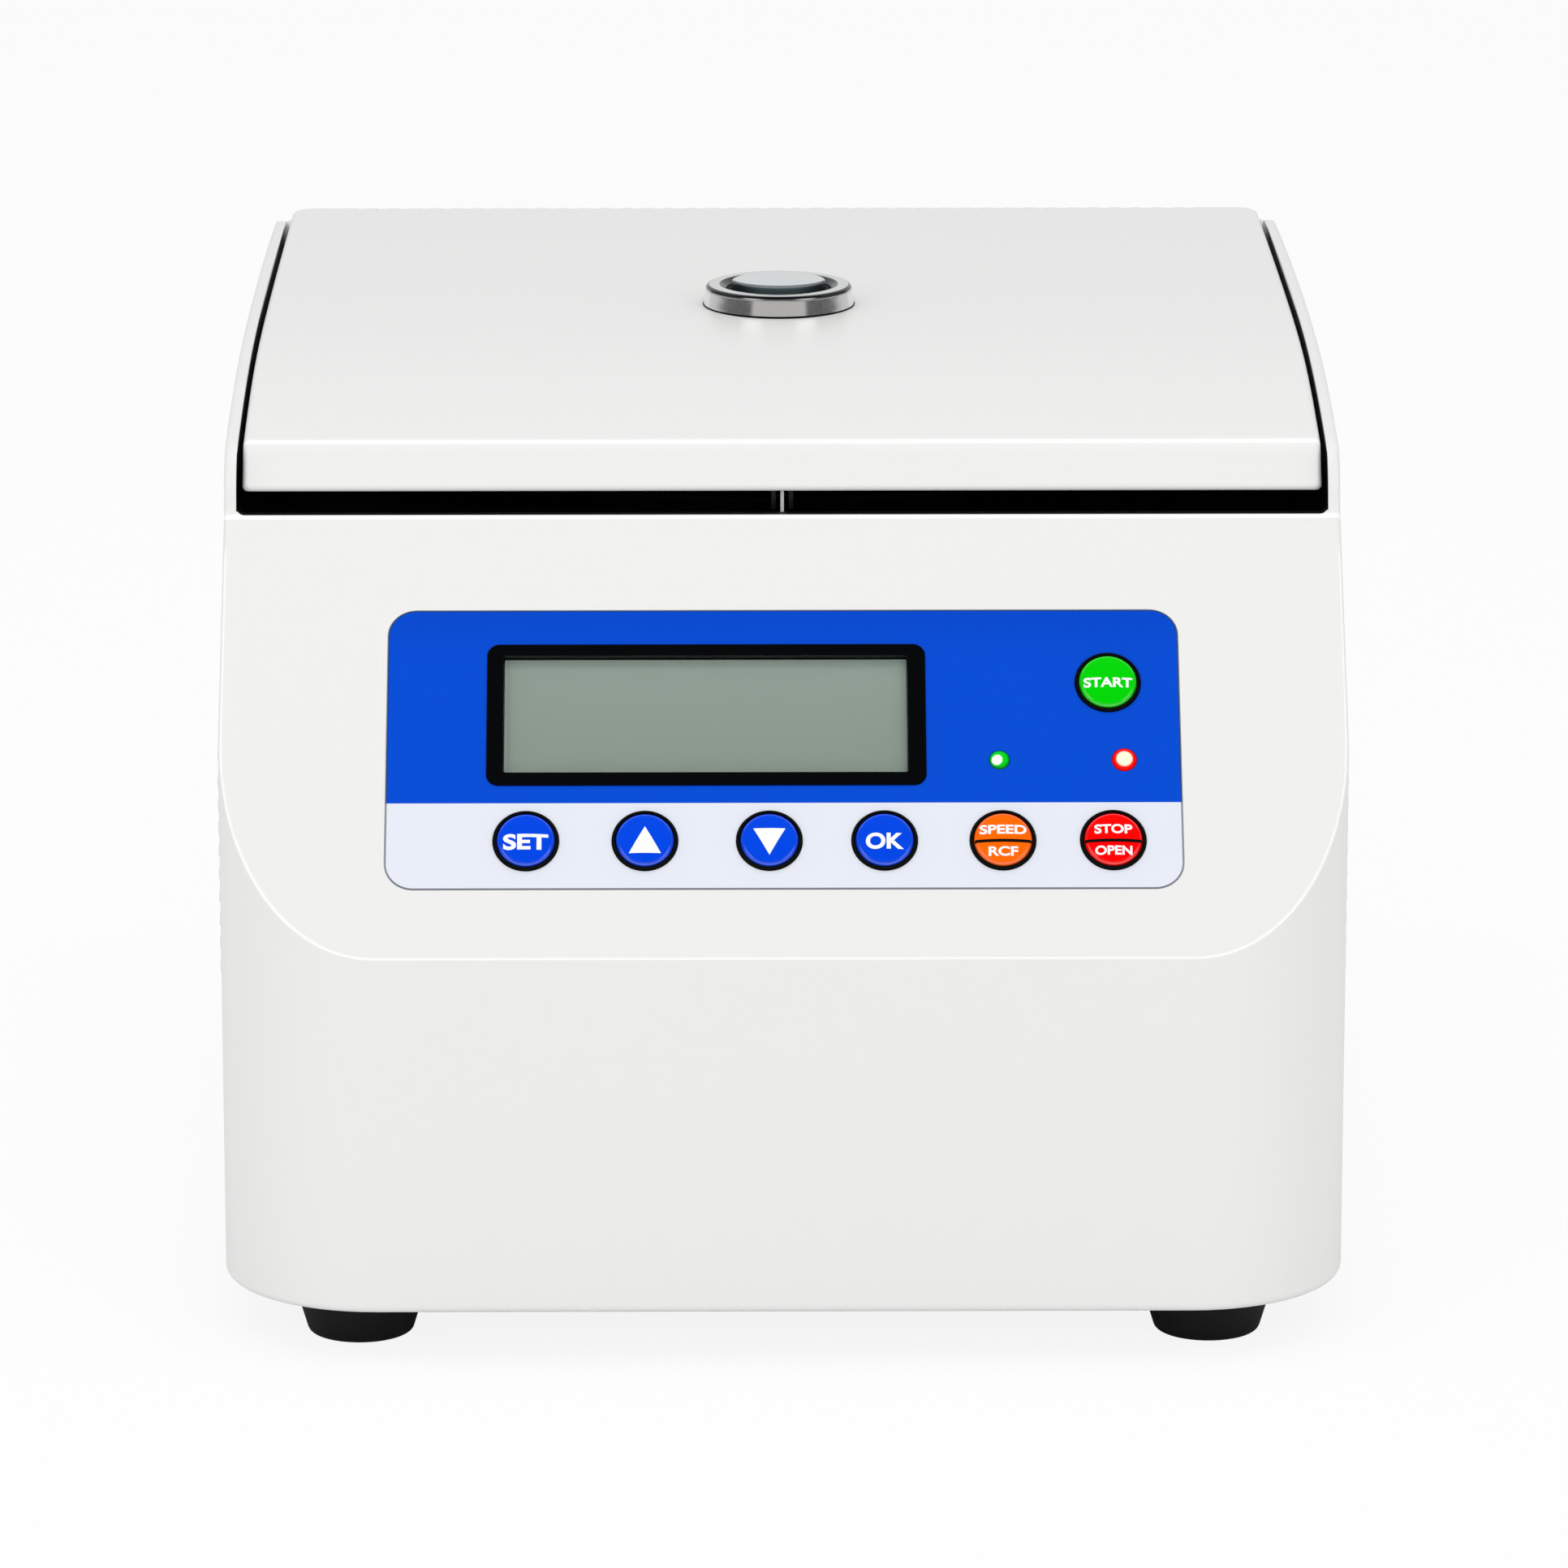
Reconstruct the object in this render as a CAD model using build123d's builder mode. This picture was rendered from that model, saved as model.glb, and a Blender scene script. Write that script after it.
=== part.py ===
from build123d import *
import math
import os

# Bench-top high-speed centrifuge with a hinged lid.
# Millimetres. X runs to the right, Y to the back, Z up. The origin is on the bench,
# at the middle of the footprint. Depths are counted back from the front face.

# Overall sizes
width = 300.0
overall_depth = 390.0
body_depth = 388.0
foot_height = 12.9
wall = 2.5
front_y = -overall_depth / 2
rear_y = front_y + body_depth


def back(depth):
    """Y of a point that lies this far behind the front face."""
    return front_y + depth


# Housing outline, as depth and height
front_corner = 42.0
rear_corner = 12.0
crease_z = 110.5
lip_depth = 84.3
lip_z = 210.9
lean = math.degrees(math.atan2(lip_depth, lip_z - crease_z))
lean_sin = math.sin(math.radians(lean))
lean_cos = math.cos(math.radians(lean))
wing = 3.4
wing_inner = width / 2 - wing
lip_blend = 2.6
nose_low = (85.6, 215.5)
nose_high = (98.4, 228.9)
wing_top = [(148.6, 236.7), (221.0, 240.6), (294.6, 240.9)]
wing_end = (370.0, 239.0)
wing_fall = 0.052
wing_foot = (body_depth, 220.0)
overrun = 40.0
outline_top = 260.0

# Deck under the lid
deck_z = 208.9
deck_thickness = 2.5
deck_under = deck_z - deck_thickness
ledge = 2.5
ledge_side = 8.0
bay_front = 88.0
rear_wall_top = 212.0

# Lid
lid_half = 145.2
lid_low = 216.2
lid_wall = 2.5
front_slope = math.radians(57.0)
top_slope = math.radians(11.1)
lid_crest_low = (94.05, 225.65)
lid_crest_high = (99.24, 229.15)
lid_top = [(147.7, 236.9), (222.6, 240.6), (303.0, 240.9)]
lid_top_end = (387.5, 240.2)
lid_fall = 0.012
lid_corner = 7.0
lid_round = 1.6
lid_low_round = 1.3
groove_pitch = 6.4
groove_width = 3.2
groove_depth = 0.3
groove_count = 40
groove_length = 6.0
groove_low = 221.0
liner_z = 217.6
liner_thickness = 1.5
liner_front = 93.2
liner_rear = 384.5
lid_screw_x = 128.0
lid_bosses = [(104.0, 228.3), (235.0, 239.0), (362.0, 239.0)]
lid_screw_length = 8.0

# Hinge
hinge_depth = 380.0
hinge_z = 233.0
hinge_pin_r = 2.5
pin_sink = 2.0
running = 0.05

# Chamber, with the rotor's axis
axis_depth = 230.0
axis_y = back(axis_depth)
bowl_r = 110.0
bowl_wall = 1.2
bowl_floor_z = 118.0
bowl_rim_z = 213.5

# Motor
shaft_r = 6.0
bearing_r = 13.0
motor_r = 50.0
mount_z = 33.4
can_top_z = 108.0
lower_bearing_z = 38.0
upper_bearing_z = 98.0
bearing_height = 8.0
core_z = 52.0
core_height = 36.0

# Rotor with its tube holes
rotor_seat_z = 128.0
hub_r = 9.0
tube_count = 12
tube_r = 5.6
tube_tilt = 35.0
tube_depth = 40.0
mouth_r = 52.0
mouth_z = 172.0

# Sight glass in the lid
seat_z = 239.9
gasket_top_z = 240.95
neck_r = 15.4

# Label panel, in the console's own plane: X and distance up the slope
panel_half = 105.2
panel_low = 19.9
panel_high = 102.1
panel_corner = 7.5
panel_depth = 0.4
overlay_thickness = 0.5
panel_gap = 0.25
frame_left = -78.7
frame_right = 37.7
frame_low = 50.2
frame_high = 91.8
frame_corner = 3.3
glass_left = -74.4
glass_right = 33.1
glass_low = 53.9
glass_high = 88.5
key_row = 33.9
key_places = {
    "key_set": (-68.1, key_row),
    "key_up": (-36.7, key_row),
    "key_down": (-3.9, key_row),
    "key_ok": (26.5, key_row),
    "key_speed": (57.7, key_row),
    "key_stop": (86.8, key_row),
    "key_start": (86.3, 80.4),
}
key_r = 7.7
collar_inner = 7.9
collar_outer = 8.65
collar_hole = 8.85
lamp_row = 57.5
lamp_green_x = 57.1
lamp_green_r = 2.6
lamp_red_x = 90.2
lamp_red_r = 3.2
lamp_gap = 0.2
board_top = -9.9
board_thickness = 1.6

# Feet
foot_x = 113.3
foot_depths = (29.0, 346.5)
foot_low_r = 13.9
foot_top_r = 17.8
foot_round = 1.8
foot_recess_r = 5.2
foot_recess = 6.0
foot_screw_r = 2.5
base_thickness = 2.0
base_top = foot_height + base_thickness

# Drive board on its stand-offs
board_middle = 85.0
drive_width = 130.0
drive_length = 90.0
standoff = 12.0

# Lid hook and lock
hook_slot_front = 90.5
hook_slot_back = 107.5
hook_front = 94.5
hook_back = 105.5
hook_low = 184.0
hook_thickness = 0.9
bracket_under = 216.2
bolt_depth = 100.0
bolt_z = 192.0
bolt_r = 2.5
lock_front = 88.5
lock_back = 109.3
lock_low = 178.0
lock_top = 203.6

# Back panel
panel_x = 123.7
rear_low = 26.3
rear_high = 197.7
rear_thickness = 1.5
fan_x = 60.0
fan_z = 76.0
fan_size = 80.0
fan_bore = 38.0
fan_bolt = 35.75
inlet_x = -86.0
inlet_z = 58.0
switch_z = 104.0
rocker_r = 1.5
screw_r = 1.5
screw_head_r = 2.8
fan_screw_r = 2.1
rear_screw_places = [
    (-120.7, 29.3),
    (0, 29.3),
    (120.7, 29.3),
    (-120.7, 112),
    (120.7, 112),
    (-120.7, 194.7),
    (0, 194.7),
    (120.7, 194.7),
]

console = Plane(
    origin=(0, front_y, crease_z),
    x_dir=(1, 0, 0),
    z_dir=(0, -lean_cos, lean_sin),
)


def on_console(x, up, out=0.0):
    """Point of the console's slope, with a height above its surface."""
    return console.from_local_coords((x, up, out))


def key_plane(x, up):
    """Upright plane through a key's middle: local X across, local Y out of the console."""
    return Plane(
        origin=on_console(x, up),
        x_dir=(1, 0, 0),
        z_dir=(0, -lean_sin, -lean_cos),
    )


def export(part, name):
    part.label = name
    export_step(part, f"parts/{name}.step")


os.makedirs("parts", exist_ok=True)


# Housing

def housing_outline():
    """Side outline of the housing, with the wings that flank the lid, run on past the back."""
    slope_end = (back(lip_depth - lip_blend * lean_sin), lip_z - lip_blend * lean_cos)
    run_out = (back(wing_end[0] + overrun), wing_end[1] - overrun * wing_fall)
    Polyline(
        run_out,
        (run_out[0], foot_height),
        (back(0), foot_height),
        (back(0), crease_z),
        slope_end,
    )
    throat = TangentArc(
        slope_end, (back(nose_low[0]), nose_low[1]), tangent=(lean_sin, lean_cos)
    )
    nose = TangentArc(
        (back(nose_low[0]), nose_low[1]), (back(nose_high[0]), nose_high[1]), tangent=throat % 1
    )
    Spline(
        (back(nose_high[0]), nose_high[1]),
        *[(back(depth), z) for depth, z in wing_top],
        (back(wing_end[0]), wing_end[1]),
        run_out,
        tangents=[nose % 1, (1, -wing_fall)],
    )


def rear_outline():
    """Side outline that rounds off the back of the wings."""
    Polyline(
        (back(wing_foot[0]), wing_foot[1]),
        (back(wing_foot[0]), 0),
        (back(-1), 0),
        (back(-1), outline_top),
        (back(wing_end[0]), outline_top),
        (back(wing_end[0]), wing_end[1]),
    )
    TangentArc(
        (back(wing_end[0]), wing_end[1]),
        (back(wing_foot[0]), wing_foot[1]),
        tangent=(1, -wing_fall),
    )


def footprint(inset, length):
    """Plan of the housing, drawn inwards by an inset, with the front corners rounded."""
    with Locations((0, back(inset))):
        Rectangle(width - 2 * inset, length, align=(Align.CENTER, Align.MIN))
    fillet(vertices().group_by(Axis.Y)[0], radius=front_corner - inset)


def round_rear(inset):
    """Rounds the back corners of a plan."""
    fillet(vertices().group_by(Axis.Y)[-1], radius=rear_corner - inset)


hollow_top = deck_under - ledge
slope_shift = wall / lean_cos
inner_crease_z = crease_z + (wall - slope_shift) / math.tan(math.radians(lean))
hollow_front = (hollow_top - crease_z) * math.tan(math.radians(lean)) + slope_shift

with BuildPart() as hollow:
    with BuildSketch(Plane.XY.offset(foot_height - 1)):
        footprint(wall, body_depth - 2 * wall)
        round_rear(wall)
    extrude(amount=hollow_top - foot_height + 1)
    with BuildSketch(Plane.YZ.offset(-width)):
        with BuildLine():
            Polyline(
                (back(wall), foot_height - 1),
                (back(wall), inner_crease_z),
                (back(hollow_front), hollow_top),
                (rear_y - wall, hollow_top),
                (rear_y - wall, foot_height - 1),
                close=True,
            )
        make_face()
    extrude(amount=2 * width, mode=Mode.INTERSECT)

louvre_pitch = 6.3
louvre_count = 17
louvre_low = 96.0
louvre_height = 3.1
louvre_out = 0.5
louvre_slot = 1.6
louvre_end = 262.0
louvre_bridge = 8.0
louvre_drop = 2.35
louvres = []
for row in range(louvre_count):
    row_z = louvre_low + row * louvre_pitch
    row_start = max(46.0, (row_z - crease_z) * lean_sin / lean_cos + 13)
    louvres.append(
        (back((row_start + louvre_end) / 2), row_z, (louvre_end - row_start - louvre_bridge) / 2)
    )

with BuildPart() as main_housing:
    with BuildSketch(Plane.XY.offset(foot_height)):
        footprint(0, body_depth + 2 * overrun)
    extrude(amount=outline_top - foot_height)
    with BuildSketch(Plane.YZ.offset(-width)):
        with BuildLine():
            housing_outline()
        make_face()
    extrude(amount=2 * width, mode=Mode.INTERSECT)
    # Soft outer edges: the crease, the sides of the console and the tops of the wings
    upper = faces().filter_by(lambda f: f.normal_at().Z > 0.02 and f.center().Z > crease_z)
    crease = edges().filter_by(Axis.X).group_by(Axis.Y)[0].sort_by(Axis.Z)[-1]
    rims = ShapeList(edge for edge in upper.edges() if abs(edge.center().X) > width / 3)
    fillet(rims + [crease], radius=1.4)
    # Back of the housing
    with BuildSketch(Plane.YZ.offset(-width)):
        with BuildLine():
            rear_outline()
        make_face()
    extrude(amount=2 * width, mode=Mode.INTERSECT)
    with BuildSketch(Plane.XY):
        with Locations((0, back(-1))):
            Rectangle(width, body_depth + 1, align=(Align.CENTER, Align.MIN))
        round_rear(0)
    extrude(amount=outline_top, mode=Mode.INTERSECT)
    fillet(edges().group_by(Axis.Z)[0], radius=2.4)
    add(hollow.part, mode=Mode.SUBTRACT)
    # Bay for the lid, with rounded lower corners at the console's lip
    with BuildSketch(Plane.XZ.offset(-back(lip_depth - 8))):
        with Locations((0, lip_z)):
            Rectangle(2 * wing_inner, outline_top - lip_z, align=(Align.CENTER, Align.MIN))
        fillet(vertices().group_by(Axis.Y)[0], radius=2.2)
    extrude(amount=-(bay_front - lip_depth + 9), mode=Mode.SUBTRACT)
    with BuildSketch(Plane.XY.offset(deck_under)):
        with Locations((0, back(bay_front))):
            Rectangle(
                2 * wing_inner,
                body_depth - wall - bay_front,
                align=(Align.CENTER, Align.MIN),
            )
    extrude(amount=outline_top - deck_under, mode=Mode.SUBTRACT)
    with BuildSketch(Plane.XY.offset(rear_wall_top)):
        with Locations((0, back(bay_front + 10))):
            Rectangle(2 * wing_inner, body_depth, align=(Align.CENTER, Align.MIN))
    extrude(amount=outline_top - rear_wall_top, mode=Mode.SUBTRACT)
    # Ledge that carries the deck
    with BuildSketch(Plane.XY.offset(hollow_top - 1)):
        with Locations((0, back(bay_front + ledge))):
            Rectangle(
                2 * (wing_inner - ledge_side),
                body_depth - wall - bay_front - 2 * ledge - ledge_side,
                align=(Align.CENTER, Align.MIN),
            )
    extrude(amount=ledge + 2, mode=Mode.SUBTRACT)
    # Pocket and cut-outs for the label panel
    with BuildSketch(console.offset(-panel_depth)):
        with Locations((0, (panel_low + panel_high) / 2)):
            RectangleRounded(
                2 * (panel_half + panel_gap),
                panel_high - panel_low + 2 * panel_gap,
                panel_corner + panel_gap,
            )
    extrude(amount=5, mode=Mode.SUBTRACT)
    with BuildSketch(console.offset(-wall - 1)):
        with Locations(((frame_left + frame_right) / 2, (frame_low + frame_high) / 2)):
            RectangleRounded(
                frame_right - frame_left + 0.3, frame_high - frame_low + 0.3, frame_corner
            )
        with Locations(*key_places.values()):
            Circle(collar_hole)
        with Locations((lamp_green_x, lamp_row)):
            Circle(lamp_green_r + lamp_gap)
        with Locations((lamp_red_x, lamp_row)):
            Circle(lamp_red_r + lamp_gap)
    extrude(amount=8, mode=Mode.SUBTRACT)
    # Posts that carry the control board
    with BuildSketch(console.offset(board_top)):
        with Locations((-101, 26), (101, 26), (-101, 94), (101, 94)):
            Circle(3)
    extrude(amount=-board_top - wall + 0.2)
    # Louvres on both sides: a low rib over each slot
    for side in (-1, 1):
        with BuildSketch(Plane.YZ.offset(side * (width / 2 - 1))):
            for y, z, span in louvres:
                with Locations((y, z)):
                    RectangleRounded(2 * span + louvre_bridge, louvre_height, louvre_height / 2.2)
        extrude(amount=side * (1 + louvre_out))
        with BuildSketch(Plane.YZ.offset(side * (width / 2 - wall - 1))):
            for y, z, span in louvres:
                with Locations(
                    (y - (span + louvre_bridge) / 2, z - louvre_drop),
                    (y + (span + louvre_bridge) / 2, z - louvre_drop),
                ):
                    Rectangle(span - 4, louvre_slot)
        extrude(amount=side * (wall + 2), mode=Mode.SUBTRACT)
    # Blind holes for the hinge pins
    with BuildSketch(Plane.YZ.offset(-wing_inner - pin_sink)):
        with Locations((back(hinge_depth), hinge_z)):
            Circle(hinge_pin_r)
    extrude(amount=2 * (wing_inner + pin_sink), mode=Mode.SUBTRACT)
    # Window and rebate for the back panel, with its screw holes
    with BuildSketch(Plane.XZ.offset(-rear_y + rear_thickness)):
        with Locations((0, (rear_low + rear_high) / 2)):
            Rectangle(2 * panel_x + 0.6, rear_high - rear_low + 0.6)
    extrude(amount=-5, mode=Mode.SUBTRACT)
    with BuildSketch(Plane.XZ.offset(-rear_y + wall + 1)):
        with Locations((0, (rear_low + rear_high) / 2)):
            Rectangle(2 * panel_x - 12, rear_high - rear_low - 12)
    extrude(amount=-5, mode=Mode.SUBTRACT)
    with BuildSketch(Plane.XZ.offset(-rear_y + rear_thickness)):
        with Locations(*rear_screw_places):
            Circle(4)
    extrude(amount=7)
    with BuildSketch(Plane.XZ.offset(-rear_y + rear_thickness)):
        with Locations(*rear_screw_places):
            Circle(screw_r)
    extrude(amount=5, mode=Mode.SUBTRACT)
export(main_housing.part, "main_housing")


# Frame and floor

with BuildPart() as deck_plate:
    with BuildSketch(Plane.XY.offset(deck_under)):
        with Locations((0, back(bay_front + 0.3))):
            Rectangle(
                2 * wing_inner - 0.6,
                body_depth - wall - bay_front - 0.6,
                align=(Align.CENTER, Align.MIN),
            )
        with Locations((0, axis_y)):
            Circle(bowl_r + 2, mode=Mode.SUBTRACT)
        with Locations((0, back((hook_slot_front + hook_slot_back) / 2))):
            Rectangle(4, hook_slot_back - hook_slot_front, mode=Mode.SUBTRACT)
    extrude(amount=deck_thickness)
export(deck_plate.part, "deck_plate")

with BuildPart() as base_plate:
    with BuildSketch(Plane.XY.offset(foot_height)):
        with Locations((0, back(wall + 0.3))):
            Rectangle(
                width - 2 * wall - 0.6,
                body_depth - 2 * wall - 0.6,
                align=(Align.CENTER, Align.MIN),
            )
        fillet(vertices().group_by(Axis.Y)[0], radius=front_corner - wall - 0.3)
        fillet(vertices().group_by(Axis.Y)[-1], radius=rear_corner - wall - 0.3)
        with Locations(*[(side * foot_x, back(depth)) for side in (-1, 1) for depth in foot_depths]):
            Circle(foot_screw_r, mode=Mode.SUBTRACT)
        # Cooling slots under the motor
        with Locations((0, axis_y)):
            with PolarLocations(30, 8):
                SlotOverall(26, 5, mode=Mode.SUBTRACT)
    extrude(amount=base_thickness)
    # Stand-offs for the drive board
    with BuildSketch(Plane.XY.offset(base_top)):
        with Locations((0, back(board_middle))):
            with GridLocations(drive_width - 10, drive_length - 10, 2, 2):
                Circle(3.5)
    extrude(amount=standoff)
export(base_plate.part, "base_plate")

with BuildPart() as rubber_feet:
    for side in (-1, 1):
        for depth in foot_depths:
            foot_plane = Plane(origin=(side * foot_x, back(depth), 0), x_dir=(1, 0, 0), z_dir=(0, -1, 0))
            with BuildSketch(foot_plane):
                with BuildLine():
                    Polyline(
                        (foot_recess_r, 0.0),
                        (foot_low_r, 0.0),
                        (foot_top_r, foot_height),
                        (foot_screw_r, foot_height),
                        (foot_screw_r, foot_recess),
                        (foot_recess_r, foot_recess),
                        close=True,
                    )
                make_face()
                fillet(vertices().group_by(Axis.Y)[0].sort_by(Axis.X)[-1:], radius=foot_round)
            revolve(axis=Axis(foot_plane.origin, (0, 0, 1)))
export(rubber_feet.part, "rubber_feet")

with BuildPart() as foot_screws:
    with Locations(
        *[(side * foot_x, back(depth), 3) for side in (-1, 1) for depth in foot_depths]
    ):
        Cylinder(4.6, 3, align=(Align.CENTER, Align.CENTER, Align.MIN))
    with Locations(
        *[(side * foot_x, back(depth), 6) for side in (-1, 1) for depth in foot_depths]
    ):
        Cylinder(foot_screw_r, 12, align=(Align.CENTER, Align.CENTER, Align.MIN))
export(foot_screws.part, "foot_screws")


# Chamber

def spin_about_rotor(points):
    """Closed profile of radius and height, spun about the rotor's axis."""
    plane = Plane(origin=(0, axis_y, 0), x_dir=(1, 0, 0), z_dir=(0, -1, 0))
    with BuildSketch(plane) as profile:
        with BuildLine():
            Polyline(*points, close=True)
        make_face()
    revolve(profile.sketch, axis=Axis((0, axis_y, 0), (0, 0, 1)))


bowl_out = bowl_r + bowl_wall
floor_hole = 22.0
flange_r = 120.0

with BuildPart() as chamber_bowl:
    spin_about_rotor(
        [
            (floor_hole, bowl_floor_z - bowl_wall),
            (bowl_r - 8, bowl_floor_z - bowl_wall),
            (bowl_out, bowl_floor_z + 8),
            (bowl_out, deck_z),
            (flange_r, deck_z),
            (flange_r, deck_z + bowl_wall),
            (bowl_out, deck_z + bowl_wall),
            (bowl_out, bowl_rim_z),
            (bowl_r, bowl_rim_z),
            (bowl_r, bowl_floor_z + 8.5),
            (bowl_r - 8.5, bowl_floor_z),
            (floor_hole, bowl_floor_z),
        ]
    )
export(chamber_bowl.part, "chamber_bowl")

with BuildPart() as chamber_gasket:
    spin_about_rotor(
        [
            (bowl_r - 1, bowl_rim_z),
            (bowl_out, bowl_rim_z),
            (bowl_out, deck_z + bowl_wall),
            (bowl_out + 4, deck_z + bowl_wall),
            (bowl_out + 3, bowl_rim_z),
            (bowl_out + 2, liner_z - 0.3),
            (bowl_r + 1, liner_z - 0.3),
        ]
    )
export(chamber_gasket.part, "chamber_gasket")

guard_inner = 114.0
guard_outer = 120.0
guard_low = 124.0
guard_high = 200.0
guard_leg_r = 5.0

with BuildPart() as guard_ring:
    spin_about_rotor(
        [
            (guard_inner, guard_low),
            (guard_outer, guard_low),
            (guard_outer, guard_high),
            (guard_inner, guard_high),
        ]
    )
    with BuildSketch(Plane.XY.offset(base_top)):
        with Locations((0, axis_y)):
            with PolarLocations((guard_inner + guard_outer) / 2, 4, start_angle=45):
                Circle(guard_leg_r)
    extrude(amount=guard_low - base_top + 1)
    with BuildSketch(Plane.XY.offset(base_top)):
        with Locations((0, axis_y)):
            with PolarLocations((guard_inner + guard_outer) / 2, 4, start_angle=45):
                Circle(10)
    extrude(amount=3)
export(guard_ring.part, "guard_ring")


# Motor

mount_r = 65.0
mount_thickness = 3.0
damper_r = 9.0
damper_circle = 53.0
boss_r = 18.0
boss_top = lower_bearing_z + bearing_height
can_wall = 3.0

with BuildPart() as motor_dampers:
    with BuildSketch(Plane.XY.offset(base_top)):
        with Locations((0, axis_y)):
            with PolarLocations(damper_circle, 3, start_angle=30):
                Circle(damper_r)
    extrude(amount=mount_z - base_top)
    with BuildSketch(Plane.XY.offset((base_top + mount_z) / 2 - 2)):
        with Locations((0, axis_y)):
            with PolarLocations(damper_circle, 3, start_angle=30):
                Circle(damper_r + 1)
                Circle(damper_r - 2, mode=Mode.SUBTRACT)
    extrude(amount=4, mode=Mode.SUBTRACT)
export(motor_dampers.part, "motor_dampers")

with BuildPart() as motor_mount:
    spin_about_rotor(
        [
            (8, mount_z),
            (mount_r, mount_z),
            (mount_r, mount_z + mount_thickness),
            (boss_r, mount_z + mount_thickness),
            (boss_r, boss_top),
            (bearing_r, boss_top),
            (bearing_r, lower_bearing_z),
            (8, lower_bearing_z),
        ]
    )
export(motor_mount.part, "motor_mount")

with BuildPart() as motor_can:
    spin_about_rotor(
        [
            (motor_r - can_wall, mount_z + mount_thickness),
            (motor_r, mount_z + mount_thickness),
            (motor_r, can_top_z - 4),
            (motor_r - 4, can_top_z),
            (9, can_top_z),
            (9, upper_bearing_z + bearing_height),
            (bearing_r, upper_bearing_z + bearing_height),
            (bearing_r, upper_bearing_z),
            (motor_r - can_wall, upper_bearing_z),
        ]
    )
    # Cooling ribs down the can
    with BuildSketch(Plane.XY.offset(mount_z + mount_thickness)):
        with Locations((0, axis_y)):
            with PolarLocations(motor_r + 1.5, 24):
                Rectangle(5, 2)
    extrude(amount=can_top_z - mount_z - 12)
export(motor_can.part, "motor_can")

with BuildPart() as motor_bearings:
    for z in (lower_bearing_z, upper_bearing_z):
        spin_about_rotor(
            [
                (shaft_r + running, z),
                (bearing_r, z),
                (bearing_r, z + bearing_height),
                (shaft_r + running, z + bearing_height),
            ]
        )
export(motor_bearings.part, "motor_bearings")

stator_r = motor_r - can_wall
stator_bore = 31.0
slot_count = 12

with BuildPart() as stator:
    with BuildSketch(Plane.XY.offset(core_z)):
        with Locations((0, axis_y)):
            Circle(stator_r)
            Circle(stator_bore, mode=Mode.SUBTRACT)
            with PolarLocations((stator_bore + stator_r) / 2 - 2, slot_count):
                Rectangle(8, 6, mode=Mode.SUBTRACT)
    extrude(amount=core_height)
export(stator.part, "stator")

with BuildPart() as windings:
    for z in (core_z - 7, core_z + core_height):
        with BuildSketch(Plane.XY.offset(z)):
            with Locations((0, axis_y)):
                Circle(stator_r - 3)
                Circle(stator_bore + 2, mode=Mode.SUBTRACT)
        extrude(amount=7)
    with BuildSketch(Plane.XY.offset(core_z - 0.5)):
        with Locations((0, axis_y)):
            with PolarLocations((stator_bore + stator_r) / 2 - 2, slot_count):
                Rectangle(7, 5)
    extrude(amount=core_height + 1)
export(windings.part, "windings")

with BuildPart() as shaft_boot:
    spin_about_rotor(
        [
            (13, can_top_z),
            (17, can_top_z),
            (19, can_top_z + 4),
            (26, bowl_floor_z - bowl_wall),
            (21, bowl_floor_z - bowl_wall),
            (16, can_top_z + 5),
        ]
    )
export(shaft_boot.part, "shaft_boot")

collar_r = 12.0
collar_z = 122.0
hub_top_z = 158.0
cone_z = 150.0
stud_r = 4.0
stud_top_z = 178.0

with BuildPart() as motor_shaft:
    spin_about_rotor(
        [
            (0, lower_bearing_z - 2),
            (shaft_r - 1, lower_bearing_z - 2),
            (shaft_r, lower_bearing_z - 1),
            (shaft_r, collar_z),
            (collar_r, collar_z),
            (collar_r, rotor_seat_z),
            (hub_r, rotor_seat_z),
            (hub_r, cone_z),
            (stud_r, cone_z),
            (stud_r, stud_top_z),
            (0, stud_top_z),
        ]
    )
export(motor_shaft.part, "motor_shaft")

with BuildPart() as motor_core:
    spin_about_rotor(
        [
            (shaft_r, core_z),
            (stator_bore - 1, core_z),
            (stator_bore - 1, core_z + core_height),
            (shaft_r, core_z + core_height),
        ]
    )
export(motor_core.part, "motor_core")

tilt = math.radians(tube_tilt)
rim_r = 67.0
rim_z = mouth_z + (rim_r - mouth_r) * math.tan(tilt)
dish_r = mouth_r - (mouth_z - hub_top_z) / math.tan(tilt)

with BuildPart() as rotor:
    spin_about_rotor(
        [
            (hub_r, rotor_seat_z),
            (62, rotor_seat_z),
            (84, 136),
            (88, 144),
            (86, 162),
            (75, rim_z),
            (rim_r, rim_z),
            (dish_r, hub_top_z),
            (stud_r + 0.5, hub_top_z),
            (stud_r + 0.5, cone_z),
            (hub_r, cone_z),
        ]
    )
    # Tube holes, leaning outwards as they go down
    for place in range(tube_count):
        turn = math.radians(place * 360 / tube_count)
        down = Vector(
            math.sin(tilt) * math.cos(turn), math.sin(tilt) * math.sin(turn), -math.cos(tilt)
        )
        mouth = Vector(mouth_r * math.cos(turn), axis_y + mouth_r * math.sin(turn), mouth_z)
        with BuildSketch(Plane(origin=mouth - down * 12, z_dir=down)):
            Circle(tube_r)
        extrude(amount=tube_depth + 12, mode=Mode.SUBTRACT)
export(rotor.part, "rotor")

knob_top_z = 190.0

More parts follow.
